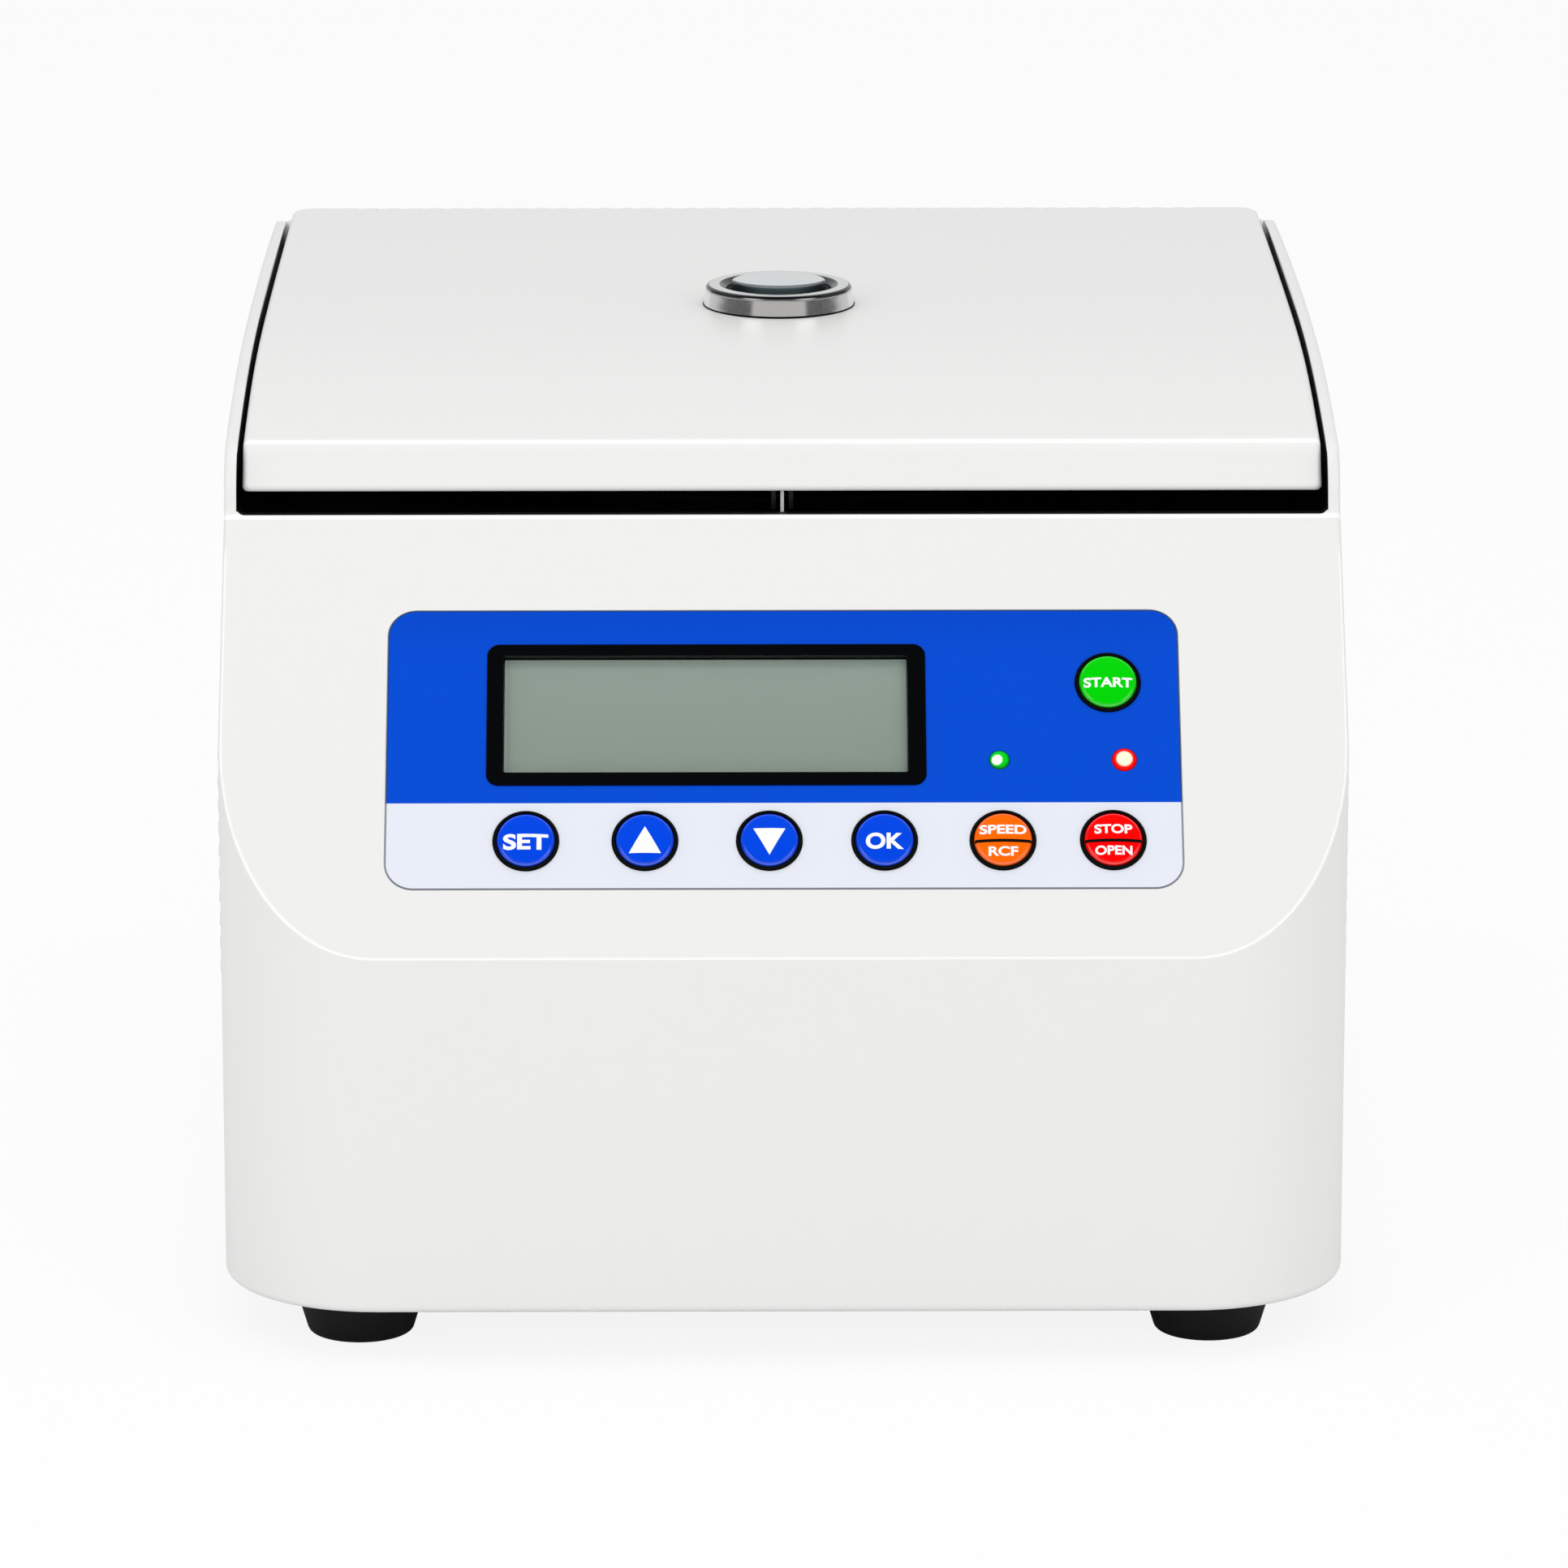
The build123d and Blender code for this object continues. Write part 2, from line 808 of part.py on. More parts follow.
with BuildPart() as rotor_nut:
    spin_about_rotor(
        [
            (stud_r, hub_top_z),
            (12, hub_top_z),
            (12, hub_top_z + 5),
            (9, hub_top_z + 8),
            (9, knob_top_z - 10),
            (14, knob_top_z - 8),
            (14, knob_top_z - 1),
            (13, knob_top_z),
            (0, knob_top_z),
            (0, stud_top_z),
            (stud_r, stud_top_z),
        ]
    )
    with BuildSketch(Plane.XY.offset(knob_top_z - 9)):
        with Locations((0, axis_y)):
            with PolarLocations(15, 16):
                Circle(1.8)
    extrude(amount=10, mode=Mode.SUBTRACT)
export(rotor_nut.part, "rotor_nut")


# Lid

def lid_outline(inset, low):
    """Side outline of the lid, drawn inwards by an inset, down to a height."""
    run = (math.cos(front_slope), math.sin(front_slope))
    start = (lid_crest_low[0] + inset * run[1], lid_crest_low[1] - inset * run[0])
    crest = (
        back(lid_crest_high[0] + inset * math.sin(top_slope)),
        lid_crest_high[1] - inset * math.cos(top_slope),
    )
    end = (back(lid_top_end[0] - inset), lid_top_end[1] - inset)
    Polyline(
        end,
        (end[0], low),
        (back(start[0] - (start[1] - low) * run[0] / run[1]), low),
        (back(start[0]), start[1]),
    )
    front = TangentArc((back(start[0]), start[1]), crest, tangent=run)
    Spline(
        crest,
        *[(back(depth), z - inset) for depth, z in lid_top],
        end,
        tangents=[front % 1, (1, -lid_fall)],
    )


inner_half = lid_half - lid_wall

with BuildPart() as lid_hollow:
    with BuildSketch(Plane.YZ.offset(-inner_half)):
        with BuildLine():
            lid_outline(lid_wall, lid_low - 2)
        make_face()
    extrude(amount=2 * inner_half)
    fillet(edges().filter_by(Axis.Z).group_by(Axis.Y)[-1], radius=2)

with BuildPart() as lid_shell:
    with BuildSketch(Plane.YZ.offset(-lid_half)):
        with BuildLine():
            lid_outline(0, lid_low)
        make_face()
    extrude(amount=2 * lid_half)
    fillet(edges().filter_by(Axis.Z).group_by(Axis.Y)[-1], radius=lid_corner)
    upper = faces().filter_by(lambda f: f.normal_at().Z > 0.02)
    rims = ShapeList(
        edge
        for edge in upper.edges()
        if abs(edge.center().X) > lid_half / 2 or edge.center().Y > back(lid_top_end[0] - 1)
    )
    fillet(rims, radius=lid_round)
    fillet(edges().group_by(Axis.Z)[0], radius=lid_low_round)
    add(lid_hollow.part, mode=Mode.SUBTRACT)
    # Row of short grooves over the back edge
    with BuildSketch(Plane.XY.offset(lid_top_end[1] - groove_depth)):
        with Locations((0, back(lid_top_end[0]))):
            with GridLocations(groove_pitch, 1, groove_count, 1):
                Rectangle(groove_width, 2 * groove_length)
    extrude(amount=5, mode=Mode.SUBTRACT)
    with BuildSketch(Plane.XZ.offset(groove_depth - back(lid_top_end[0]))):
        with Locations((0, groove_low)):
            with GridLocations(groove_pitch, 1, groove_count, 1):
                Rectangle(groove_width, 40, align=(Align.CENTER, Align.MIN))
    extrude(amount=-5, mode=Mode.SUBTRACT)
    # Bosses for the liner's screws
    for depth, top in lid_bosses:
        with BuildSketch(Plane.XY.offset(liner_z + liner_thickness)):
            with Locations((-lid_screw_x, back(depth)), (lid_screw_x, back(depth))):
                Circle(4)
        extrude(amount=top - liner_z - liner_thickness)
        with BuildSketch(Plane.XY.offset(liner_z)):
            with Locations((-lid_screw_x, back(depth)), (lid_screw_x, back(depth))):
                Circle(screw_r)
        extrude(amount=lid_screw_length, mode=Mode.SUBTRACT)
    # Seat and hole for the sight glass
    with BuildSketch(Plane.XY.offset(seat_z)):
        with Locations((0, axis_y)):
            Circle(21.6)
    extrude(amount=5, mode=Mode.SUBTRACT)
    with BuildSketch(Plane.XY.offset(lid_low)):
        with Locations((0, axis_y)):
            Circle(neck_r + 0.2)
    extrude(amount=40, mode=Mode.SUBTRACT)
    # Holes for the hinge pins
    with BuildSketch(Plane.YZ.offset(-lid_half - 1)):
        with Locations((back(hinge_depth), hinge_z)):
            Circle(hinge_pin_r + 0.5)
    extrude(amount=2 * lid_half + 2, mode=Mode.SUBTRACT)
export(lid_shell.part, "lid_shell")

dome_r = 100.0
dome_z = 226.0

with BuildPart() as lid_liner:
    with BuildSketch(Plane.XY.offset(liner_z)):
        with Locations((0, back(liner_front))):
            Rectangle(
                2 * (inner_half - 0.5), liner_rear - liner_front, align=(Align.CENTER, Align.MIN)
            )
        fillet(vertices().group_by(Axis.Y)[-1], radius=lid_corner - lid_wall)
        with Locations((0, axis_y)):
            Circle(dome_r - liner_thickness, mode=Mode.SUBTRACT)
        with Locations(
            *[(side * lid_screw_x, back(depth)) for side in (-1, 1) for depth, top in lid_bosses]
        ):
            Circle(screw_r, mode=Mode.SUBTRACT)
    extrude(amount=liner_thickness)
    spin_about_rotor(
        [
            (neck_r + 0.2, dome_z),
            (dome_r - liner_thickness, dome_z),
            (dome_r - liner_thickness, liner_z),
            (dome_r, liner_z),
            (dome_r, dome_z + liner_thickness),
            (neck_r + 0.2, dome_z + liner_thickness),
        ]
    )
export(lid_liner.part, "lid_liner")

with BuildPart() as lid_screws:
    for depth, top in lid_bosses:
        with BuildSketch(Plane.XY.offset(liner_z - 1.6)):
            with Locations((-lid_screw_x, back(depth)), (lid_screw_x, back(depth))):
                Circle(screw_head_r)
        extrude(amount=1.6)
        with BuildSketch(Plane.XY.offset(liner_z)):
            with Locations((-lid_screw_x, back(depth)), (lid_screw_x, back(depth))):
                Circle(screw_r)
        extrude(amount=lid_screw_length - 1)
export(lid_screws.part, "lid_screws")


# Sight glass

rotor_section = Plane(origin=(0, axis_y, 0), x_dir=(1, 0, 0), z_dir=(0, -1, 0))
rotor_line = Axis((0, axis_y, 0), (0, 0, 1))
glass_r = 13.3
glass_seat_z = 242.0
glass_round = 0.5
glass_edge_z = 247.0
glass_top_z = 247.7
bore_r = 12.3
neck_low = 221.0
ring_top_z = 246.5
ring_bevel = 16.9
ring_inner = 15.0
ring_flat = 19.4
ring_shoulder = (20.75, 245.1)
ring_outer = 21.35
seal_seat_z = 243.2
seal_top_z = 245.0

with BuildPart() as window_gaskets:
    # One ring under the chrome ring, one round the glass
    spin_about_rotor(
        [
            (neck_r + 0.2, seat_z),
            (ring_outer + 0.15, seat_z),
            (ring_outer + 0.15, gasket_top_z),
            (neck_r + 0.2, gasket_top_z),
        ]
    )
    spin_about_rotor(
        [
            (glass_r + 0.1, seal_seat_z),
            (ring_inner, seal_seat_z),
            (ring_inner, seal_top_z),
            (glass_r + 0.1, seal_top_z),
        ]
    )
export(window_gaskets.part, "window_gaskets")

with BuildPart() as window_bezel:
    with BuildSketch(rotor_section):
        with BuildLine():
            Polyline(
                (ring_flat, ring_top_z),
                (ring_bevel, ring_top_z),
                (ring_inner, seal_top_z + 0.2),
                (ring_inner, seal_seat_z),
                (glass_r + 0.1, seal_seat_z),
                (glass_r + 0.1, glass_seat_z),
                (bore_r, glass_seat_z),
                (bore_r, neck_low),
                (neck_r, neck_low),
                (neck_r, gasket_top_z),
                (ring_outer, gasket_top_z),
                ring_shoulder,
            )
            TangentArc((ring_flat, ring_top_z), ring_shoulder, tangent=(1, 0))
        make_face()
    revolve(axis=rotor_line)
export(window_bezel.part, "window_bezel")

with BuildPart() as window_glass:
    with BuildSketch(rotor_section):
        with BuildLine():
            Polyline(
                (0, glass_top_z),
                (0, glass_seat_z),
                (glass_r, glass_seat_z),
                (glass_r, glass_edge_z),
            )
            dome = TangentArc(
                (0, glass_top_z),
                (glass_r - glass_round, glass_edge_z + glass_round),
                tangent=(1, 0),
            )
            TangentArc(
                (glass_r - glass_round, glass_edge_z + glass_round),
                (glass_r, glass_edge_z),
                tangent=dome % 1,
            )
        make_face()
    revolve(axis=rotor_line)
export(window_glass.part, "window_glass")

with BuildPart() as window_nut:
    with BuildSketch(Plane.XY.offset(dome_z - 4)):
        with Locations((0, axis_y)):
            RegularPolygon(21, 6)
            Circle(neck_r, mode=Mode.SUBTRACT)
    extrude(amount=4)
export(window_nut.part, "window_nut")


# Hook under the lid, and its lock

ear_gap = 1.75
ear_thickness = 1.2
cross_pin_z = 213.0

with BuildPart() as lid_hook:
    with BuildSketch(Plane.YZ.offset(-hook_thickness / 2)):
        with BuildLine():
            Polyline(
                (back(hook_front), bracket_under),
                (back(hook_front), hook_low + 4),
                (back(hook_front + 4), hook_low),
                (back(hook_back), hook_low),
                (back(hook_back), bracket_under),
                close=True,
            )
        make_face()
        with Locations((back(bolt_depth), bolt_z)):
            Rectangle(8, 8, mode=Mode.SUBTRACT)
        with Locations((back(bolt_depth), cross_pin_z)):
            Circle(screw_r, mode=Mode.SUBTRACT)
    extrude(amount=hook_thickness)
export(lid_hook.part, "lid_hook")

with BuildPart() as hook_bracket:
    with BuildSketch(Plane.XY.offset(bracket_under)):
        with Locations((0, back((hook_front + hook_back) / 2))):
            Rectangle(18, 15)
    extrude(amount=liner_z - bracket_under)
    for side in (-1, 1):
        with BuildSketch(Plane.YZ.offset(side * ear_gap)):
            with Locations((back(bolt_depth), bracket_under)):
                Rectangle(13, bracket_under - 210.5, align=(Align.CENTER, Align.MAX))
        extrude(amount=side * ear_thickness)
    with BuildSketch(Plane.YZ.offset(-ear_gap - ear_thickness)):
        with Locations((back(bolt_depth), cross_pin_z)):
            Circle(screw_r)
    extrude(amount=2 * (ear_gap + ear_thickness))
export(hook_bracket.part, "hook_bracket")

lock_half = 20.0
lock_ear = 10.0

with BuildPart() as lock_housing:
    with BuildSketch(Plane.XY.offset(lock_low)):
        with Locations((0, back(lock_front))):
            Rectangle(2 * lock_half, lock_back - lock_front, align=(Align.CENTER, Align.MIN))
    extrude(amount=lock_top - lock_low)
    with BuildSketch(Plane.XY.offset(lock_top - 3)):
        with Locations((0, back(bolt_depth))):
            Rectangle(2 * (lock_half + lock_ear), 16)
    extrude(amount=deck_under - lock_top + 3)
    with BuildSketch(Plane.XY.offset(lock_low + 3)):
        with Locations((0, back((hook_slot_front + hook_slot_back) / 2))):
            Rectangle(5, hook_slot_back - hook_slot_front)
    extrude(amount=40, mode=Mode.SUBTRACT)
    with BuildSketch(Plane.YZ.offset(-8)):
        with Locations((back(bolt_depth), bolt_z)):
            Circle(bolt_r + running)
    extrude(amount=lock_half + 10, mode=Mode.SUBTRACT)
export(lock_housing.part, "lock_housing")

bolt_start = 3.2
bolt_end = 45.0

with BuildPart() as lock_bolt:
    with BuildSketch(Plane.YZ.offset(bolt_start)):
        with Locations((back(bolt_depth), bolt_z)):
            Circle(bolt_r)
    extrude(amount=bolt_end - bolt_start)
    chamfer(edges().group_by(Axis.X)[0], length=0.8)
export(lock_bolt.part, "lock_bolt")

lock_motor_start = 31.0

with BuildPart() as lock_motor:
    with BuildSketch(Plane.YZ.offset(lock_motor_start)):
        with Locations((back(bolt_depth), bolt_z)):
            RectangleRounded(22, 22, 3)
            Circle(bolt_r + 0.5, mode=Mode.SUBTRACT)
    extrude(amount=20)
    with BuildSketch(Plane.YZ.offset(lock_motor_start + 20)):
        with Locations((back(bolt_depth), bolt_z)):
            RectangleRounded(22, 22, 3)
    extrude(amount=11)
    with BuildSketch(Plane.XY.offset(bolt_z + 9)):
        with Locations((lock_motor_start + 17, back(bolt_depth))):
            Rectangle(24, 16)
    extrude(amount=deck_under - bolt_z - 9)
export(lock_motor.part, "lock_motor")


# Hinge

bracket_thickness = 3.2
washer_r = 4.5
washer_gap = 0.15

with BuildPart() as hinge_pins:
    for side in (-1, 1):
        with BuildSketch(Plane.YZ.offset(side * (inner_half - bracket_thickness - 3))):
            with Locations((back(hinge_depth), hinge_z)):
                Circle(hinge_pin_r)
        extrude(amount=side * (wing_inner + pin_sink - inner_half + bracket_thickness + 3))
        with BuildSketch(Plane.YZ.offset(side * wing_inner)):
            with Locations((back(hinge_depth), hinge_z)):
                Circle(washer_r)
        extrude(amount=-side * (wing_inner - lid_half - washer_gap))
export(hinge_pins.part, "hinge_pins")

with BuildPart() as hinge_brackets:
    for side in (-1, 1):
        with BuildSketch(Plane.YZ.offset(side * (inner_half - 0.3))):
            with BuildLine():
                Polyline(
                    (back(352), liner_z + liner_thickness),
                    (back(352), liner_z + liner_thickness + 6),
                    (back(370), 236.5),
                    (back(382.3), 236.5),
                    (back(383.8), 235),
                    (back(383.8), liner_z + liner_thickness),
                    close=True,
                )
            make_face()
            with Locations((back(hinge_depth), hinge_z)):
                Circle(hinge_pin_r + running, mode=Mode.SUBTRACT)
        extrude(amount=-side * bracket_thickness)
export(hinge_brackets.part, "hinge_brackets")


# Console

with BuildPart() as panel_overlay:
    with BuildSketch(console.offset(-panel_depth)):
        with Locations((0, (panel_low + panel_high) / 2)):
            RectangleRounded(2 * panel_half, panel_high - panel_low, panel_corner)
        with Locations(((frame_left + frame_right) / 2, (frame_low + frame_high) / 2)):
            RectangleRounded(
                frame_right - frame_left + 0.2,
                frame_high - frame_low + 0.2,
                frame_corner,
                mode=Mode.SUBTRACT,
            )
        with Locations(*key_places.values()):
            Circle(collar_hole, mode=Mode.SUBTRACT)
        with Locations((lamp_green_x, lamp_row)):
            Circle(lamp_green_r + lamp_gap, mode=Mode.SUBTRACT)
        with Locations((lamp_red_x, lamp_row)):
            Circle(lamp_red_r + lamp_gap, mode=Mode.SUBTRACT)
    extrude(amount=overlay_thickness)
export(panel_overlay.part, "panel_overlay")

mat_thickness = 1.5
collar_out = 0.9

with BuildPart() as key_pad:
    with BuildSketch(console.offset(-wall - mat_thickness)):
        with Locations((8.5, 34)):
            RectangleRounded(177, 24, 3)
        with Locations((85.5, 57)):
            RectangleRounded(23, 70, 3)
        with Locations((lamp_red_x, lamp_row)):
            Circle(lamp_red_r + 0.5, mode=Mode.SUBTRACT)
    extrude(amount=mat_thickness)
    with BuildSketch(console.offset(-wall - mat_thickness)):
        with Locations(*key_places.values()):
            Circle(collar_outer)
    extrude(amount=wall + mat_thickness + collar_out)
    with BuildSketch(console.offset(-wall - mat_thickness)):
        with Locations(*key_places.values()):
            Circle(collar_inner)
    extrude(amount=20, mode=Mode.SUBTRACT)
    rims = ShapeList(
        edge
        for edge in edges().filter_by(GeomType.CIRCLE)
        if edge.radius > collar_outer - 0.1 and console.to_local_coords(edge.center()).Z > 0
    )
    chamfer(rims, length=0.3)
export(key_pad.part, "key_pad")

key_low = -5.0
key_flange_r = 8.8
key_edge = 0.4
key_shoulder = 1.4
key_round = 1.1
key_dome = 2.0

for name, (x, up) in key_places.items():
    with BuildPart() as key:
        with BuildSketch(key_plane(x, up)):
            with BuildLine():
                Polyline(
                    (0, key_dome),
                    (0, key_low),
                    (key_flange_r, key_low),
                    (key_flange_r, key_low + 0.8),
                    (key_r, key_low + 0.8),
                    (key_r, key_edge),
                )
                dome = TangentArc(
                    (0, key_dome), (key_r - key_round, key_shoulder), tangent=(1, 0)
                )
                TangentArc((key_r - key_round, key_shoulder), (key_r, key_edge), tangent=dome % 1)
            make_face()
        revolve(axis=Axis(on_console(x, up), console.z_dir))
    export(key.part, name)

with BuildPart() as control_board:
    with BuildSketch(console.offset(board_top - board_thickness)):
        with Locations((0, 59)):
            RectangleRounded(208, 82, 2)
    extrude(amount=board_thickness)
export(control_board.part, "control_board")

with BuildPart() as tact_switches:
    with BuildSketch(console.offset(board_top)):
        with Locations(*key_places.values()):
            Rectangle(6, 6)
    extrude(amount=3.5)
    with BuildSketch(console.offset(board_top)):
        with Locations(*key_places.values()):
            Circle(1.75)
    extrude(amount=4)
export(tact_switches.part, "tact_switches")

display_depth = 1.5

with BuildPart() as display_bezel:
    with BuildSketch(console.offset(-wall)):
        with Locations(((frame_left + frame_right) / 2, (frame_low + frame_high) / 2)):
            RectangleRounded(frame_right - frame_left, frame_high - frame_low, frame_corner)
        with Locations(((glass_left + glass_right) / 2, (glass_low + glass_high) / 2)):
            RectangleRounded(
                glass_right - glass_left, glass_high - glass_low, 0.8, mode=Mode.SUBTRACT
            )
    extrude(amount=wall + 0.5)
export(display_bezel.part, "display_bezel")

with BuildPart() as display_window:
    with BuildSketch(console.offset(-display_depth)):
        with Locations(((glass_left + glass_right) / 2, (glass_low + glass_high) / 2)):
            RectangleRounded(glass_right - glass_left, glass_high - glass_low, 0.8)
    extrude(amount=1.2)
export(display_window.part, "display_window")

with BuildPart() as display_module:
    with BuildSketch(console.offset(-9.3)):
        with Locations((-20.5, 71.5)):
            Rectangle(119, 45)
    extrude(amount=6.3)
    with BuildSketch(console.offset(-4)):
        with Locations(((glass_left + glass_right) / 2, (glass_low + glass_high) / 2)):
            Rectangle(glass_right - glass_left - 0.6, glass_high - glass_low - 0.6)
    extrude(amount=4 - display_depth - 0.1)
    with BuildSketch(console.offset(board_top)):
        with Locations((-20.5, 71.5)):
            with GridLocations(110, 37, 2, 2):
                Circle(2)
    extrude(amount=1)
export(display_module.part, "display_module")

for name, x, radius in (
    ("lamp_green", lamp_green_x, lamp_green_r),
    ("lamp_red", lamp_red_x, lamp_red_r),
):
    with BuildPart() as lamp:
        with BuildSketch(key_plane(x, lamp_row)):
            with BuildLine():
                Polyline(
                    (0, 1.5),
                    (0, board_top),
                    (radius + 0.6, board_top),
                    (radius + 0.6, board_top + 1),
                    (radius, board_top + 1),
                    (radius, 0.3),
                )
                TangentArc((0, 1.5), (radius, 0.3), tangent=(1, 0))
            make_face()
        revolve(axis=Axis(on_console(x, lamp_row), console.z_dir))
    export(lamp.part, name)


# Drive electronics

board_z = base_top + standoff
fin_pitch = 7.0
fin_count = 9

with BuildPart() as drive_board:
    with BuildSketch(Plane.XY.offset(board_z)):
        with Locations((0, back(board_middle))):
            Rectangle(drive_width, drive_length)
    extrude(amount=board_thickness)
    with BuildSketch(Plane.XY.offset(board_z + board_thickness)):
        with Locations((22, back(70)), (48, back(70))):
            Circle(11)
    extrude(amount=35)
    with BuildSketch(Plane.XY.offset(board_z + board_thickness)):
        with Locations((35, back(108))):
            Rectangle(34, 26)
    extrude(amount=24)
export(drive_board.part, "drive_board")

with BuildPart() as heat_sink:
    with BuildSketch(Plane.XY.offset(board_z + board_thickness)):
        with Locations((-30, back(board_middle))):
            Rectangle(58, 70)
    extrude(amount=4)
    with BuildSketch(Plane.XY.offset(board_z + board_thickness + 4)):
        with Locations((-30, back(board_middle))):
            with GridLocations(fin_pitch, 1, fin_count, 1):
                Rectangle(1.6, 70)
    extrude(amount=26)
export(heat_sink.part, "heat_sink")


# Back panel with what it carries

panel_face = rear_y
flange = overall_depth - body_depth
fan_depth = 25.0
inlet_half = (30.0, 14.0)
inlet_body = (28.0, 22.0)
inlet_screw = 20.0
switch_half = (10.5, 13.5)
switch_body = (18.0, 24.0)
rocker_hole = (14.0, 20.0)
rocker_depth = 385.0
rocker_tilt = 8.0

with BuildPart() as rear_panel:
    with BuildSketch(Plane.XZ.offset(rear_thickness - panel_face)):
        with Locations((0, (rear_low + rear_high) / 2)):
            Rectangle(2 * panel_x, rear_high - rear_low)
        with Locations(*rear_screw_places):
            Circle(screw_r, mode=Mode.SUBTRACT)
        with Locations((fan_x, fan_z)):
            Circle(fan_bore - 0.5, mode=Mode.SUBTRACT)
            with GridLocations(2 * fan_bolt, 2 * fan_bolt, 2, 2):
                Circle(fan_screw_r, mode=Mode.SUBTRACT)
        with Locations((inlet_x, inlet_z)):
            Rectangle(*inlet_body, mode=Mode.SUBTRACT)
            with GridLocations(2 * inlet_screw, 1, 2, 1):
                Circle(screw_r, mode=Mode.SUBTRACT)
        with Locations((inlet_x, switch_z)):
            Rectangle(*switch_body, mode=Mode.SUBTRACT)
        # Vent slots
        with Locations((0, 160)):
            with GridLocations(14, 1, 13, 1):
                SlotOverall(36, 5, rotation=90, mode=Mode.SUBTRACT)
    extrude(amount=-rear_thickness)
export(rear_panel.part, "rear_panel")

with BuildPart() as rear_screws:
    with BuildSketch(Plane.XZ.offset(-panel_face)):
        with Locations(*rear_screw_places):
            Circle(screw_head_r)
    extrude(amount=-1.6)
    with BuildSketch(Plane.XZ.offset(-panel_face)):
        with Locations(*rear_screw_places):
            Circle(screw_r)
    extrude(amount=6)
    with BuildSketch(Plane.XZ.offset(-panel_face - 1)):
        with Locations((fan_x, fan_z)):
            with GridLocations(2 * fan_bolt, 2 * fan_bolt, 2, 2):
                Circle(3.8)
    extrude(amount=-1)
    with BuildSketch(Plane.XZ.offset(-panel_face - 1)):
        with Locations((fan_x, fan_z)):
            with GridLocations(2 * fan_bolt, 2 * fan_bolt, 2, 2):
                Circle(fan_screw_r)
    extrude(amount=fan_depth + 1)
    with BuildSketch(Plane.XZ.offset(-panel_face - 0.8)):
        with Locations((inlet_x, inlet_z)):
            with GridLocations(2 * inlet_screw, 1, 2, 1):
                Circle(3)
    extrude(amount=-1.2)
    with BuildSketch(Plane.XZ.offset(-panel_face - 0.8)):
        with Locations((inlet_x, inlet_z)):
            with GridLocations(2 * inlet_screw, 1, 2, 1):
                Circle(screw_r)
    extrude(amount=6)
export(rear_screws.part, "rear_screws")

fan_back = panel_face - rear_thickness

with BuildPart() as fan_frame:
    with BuildSketch(Plane.XZ.offset(-fan_back)):
        with Locations((fan_x, fan_z)):
            RectangleRounded(fan_size, fan_size, 4)
            Circle(fan_bore, mode=Mode.SUBTRACT)
            with GridLocations(2 * fan_bolt, 2 * fan_bolt, 2, 2):
                Circle(fan_screw_r, mode=Mode.SUBTRACT)
    extrude(amount=fan_depth)
    # Hub with its struts and the bearing pin
    with BuildSketch(Plane.XZ.offset(-fan_back)):
        with Locations((fan_x, fan_z)):
            Circle(16)
            with PolarLocations(fan_bore / 2 + 7, 4, start_angle=20):
                Rectangle(28, 4)
    extrude(amount=3)
    with BuildSketch(Plane.XZ.offset(-fan_back)):
        with Locations((fan_x, fan_z)):
            Circle(2)
    extrude(amount=20)
export(fan_frame.part, "fan_frame")

fan_hub_r = 17.0
blade_r = 36.5
blade_count = 7
fan_middle = fan_back - 13.5

with BuildPart() as fan_impeller:
    with BuildSketch(Plane.XZ.offset(-fan_middle - 9)):
        with Locations((fan_x, fan_z)):
            Circle(fan_hub_r)
    extrude(amount=18)
    for blade in range(blade_count):
        turn = math.radians(blade * 360 / blade_count)
        out = Vector(math.cos(turn), 0, math.sin(turn))
        root = Vector(fan_x, fan_middle, fan_z) + out * (fan_hub_r - 2)
        with BuildSketch(Plane(origin=root, x_dir=(0, 1, 0), z_dir=out)):
            Rectangle(20, 1.6, rotation=35)
        extrude(amount=blade_r - fan_hub_r + 4)
    with BuildSketch(Plane.XZ.offset(-fan_middle - 12)):
        with Locations((fan_x, fan_z)):
            Circle(blade_r)
    extrude(amount=24, mode=Mode.INTERSECT)
    with BuildSketch(Plane.XZ.offset(-fan_middle - 12)):
        with Locations((fan_x, fan_z)):
            Circle(2 + running)
    extrude(amount=19, mode=Mode.SUBTRACT)
export(fan_impeller.part, "fan_impeller")

guard_wire = 1.6

with BuildPart() as fan_guard:
    with BuildSketch(Plane.XZ.offset(-panel_face)):
        with Locations((fan_x, fan_z)):
            for radius in (37, 28, 19, 10):
                Circle(radius + guard_wire / 2)
                Circle(radius - guard_wire / 2, mode=Mode.SUBTRACT)
    extrude(amount=-1)
    with BuildSketch(Plane.XZ.offset(-panel_face)):
        with Locations((fan_x, fan_z)):
            Rectangle(guard_wire, 2 * math.sqrt(2) * fan_bolt, rotation=45)
            Rectangle(guard_wire, 2 * math.sqrt(2) * fan_bolt, rotation=-45)
            with GridLocations(2 * fan_bolt, 2 * fan_bolt, 2, 2):
                Circle(4.5)
            with GridLocations(2 * fan_bolt, 2 * fan_bolt, 2, 2):
                Circle(fan_screw_r, mode=Mode.SUBTRACT)
    extrude(amount=-1)
export(fan_guard.part, "fan_guard")

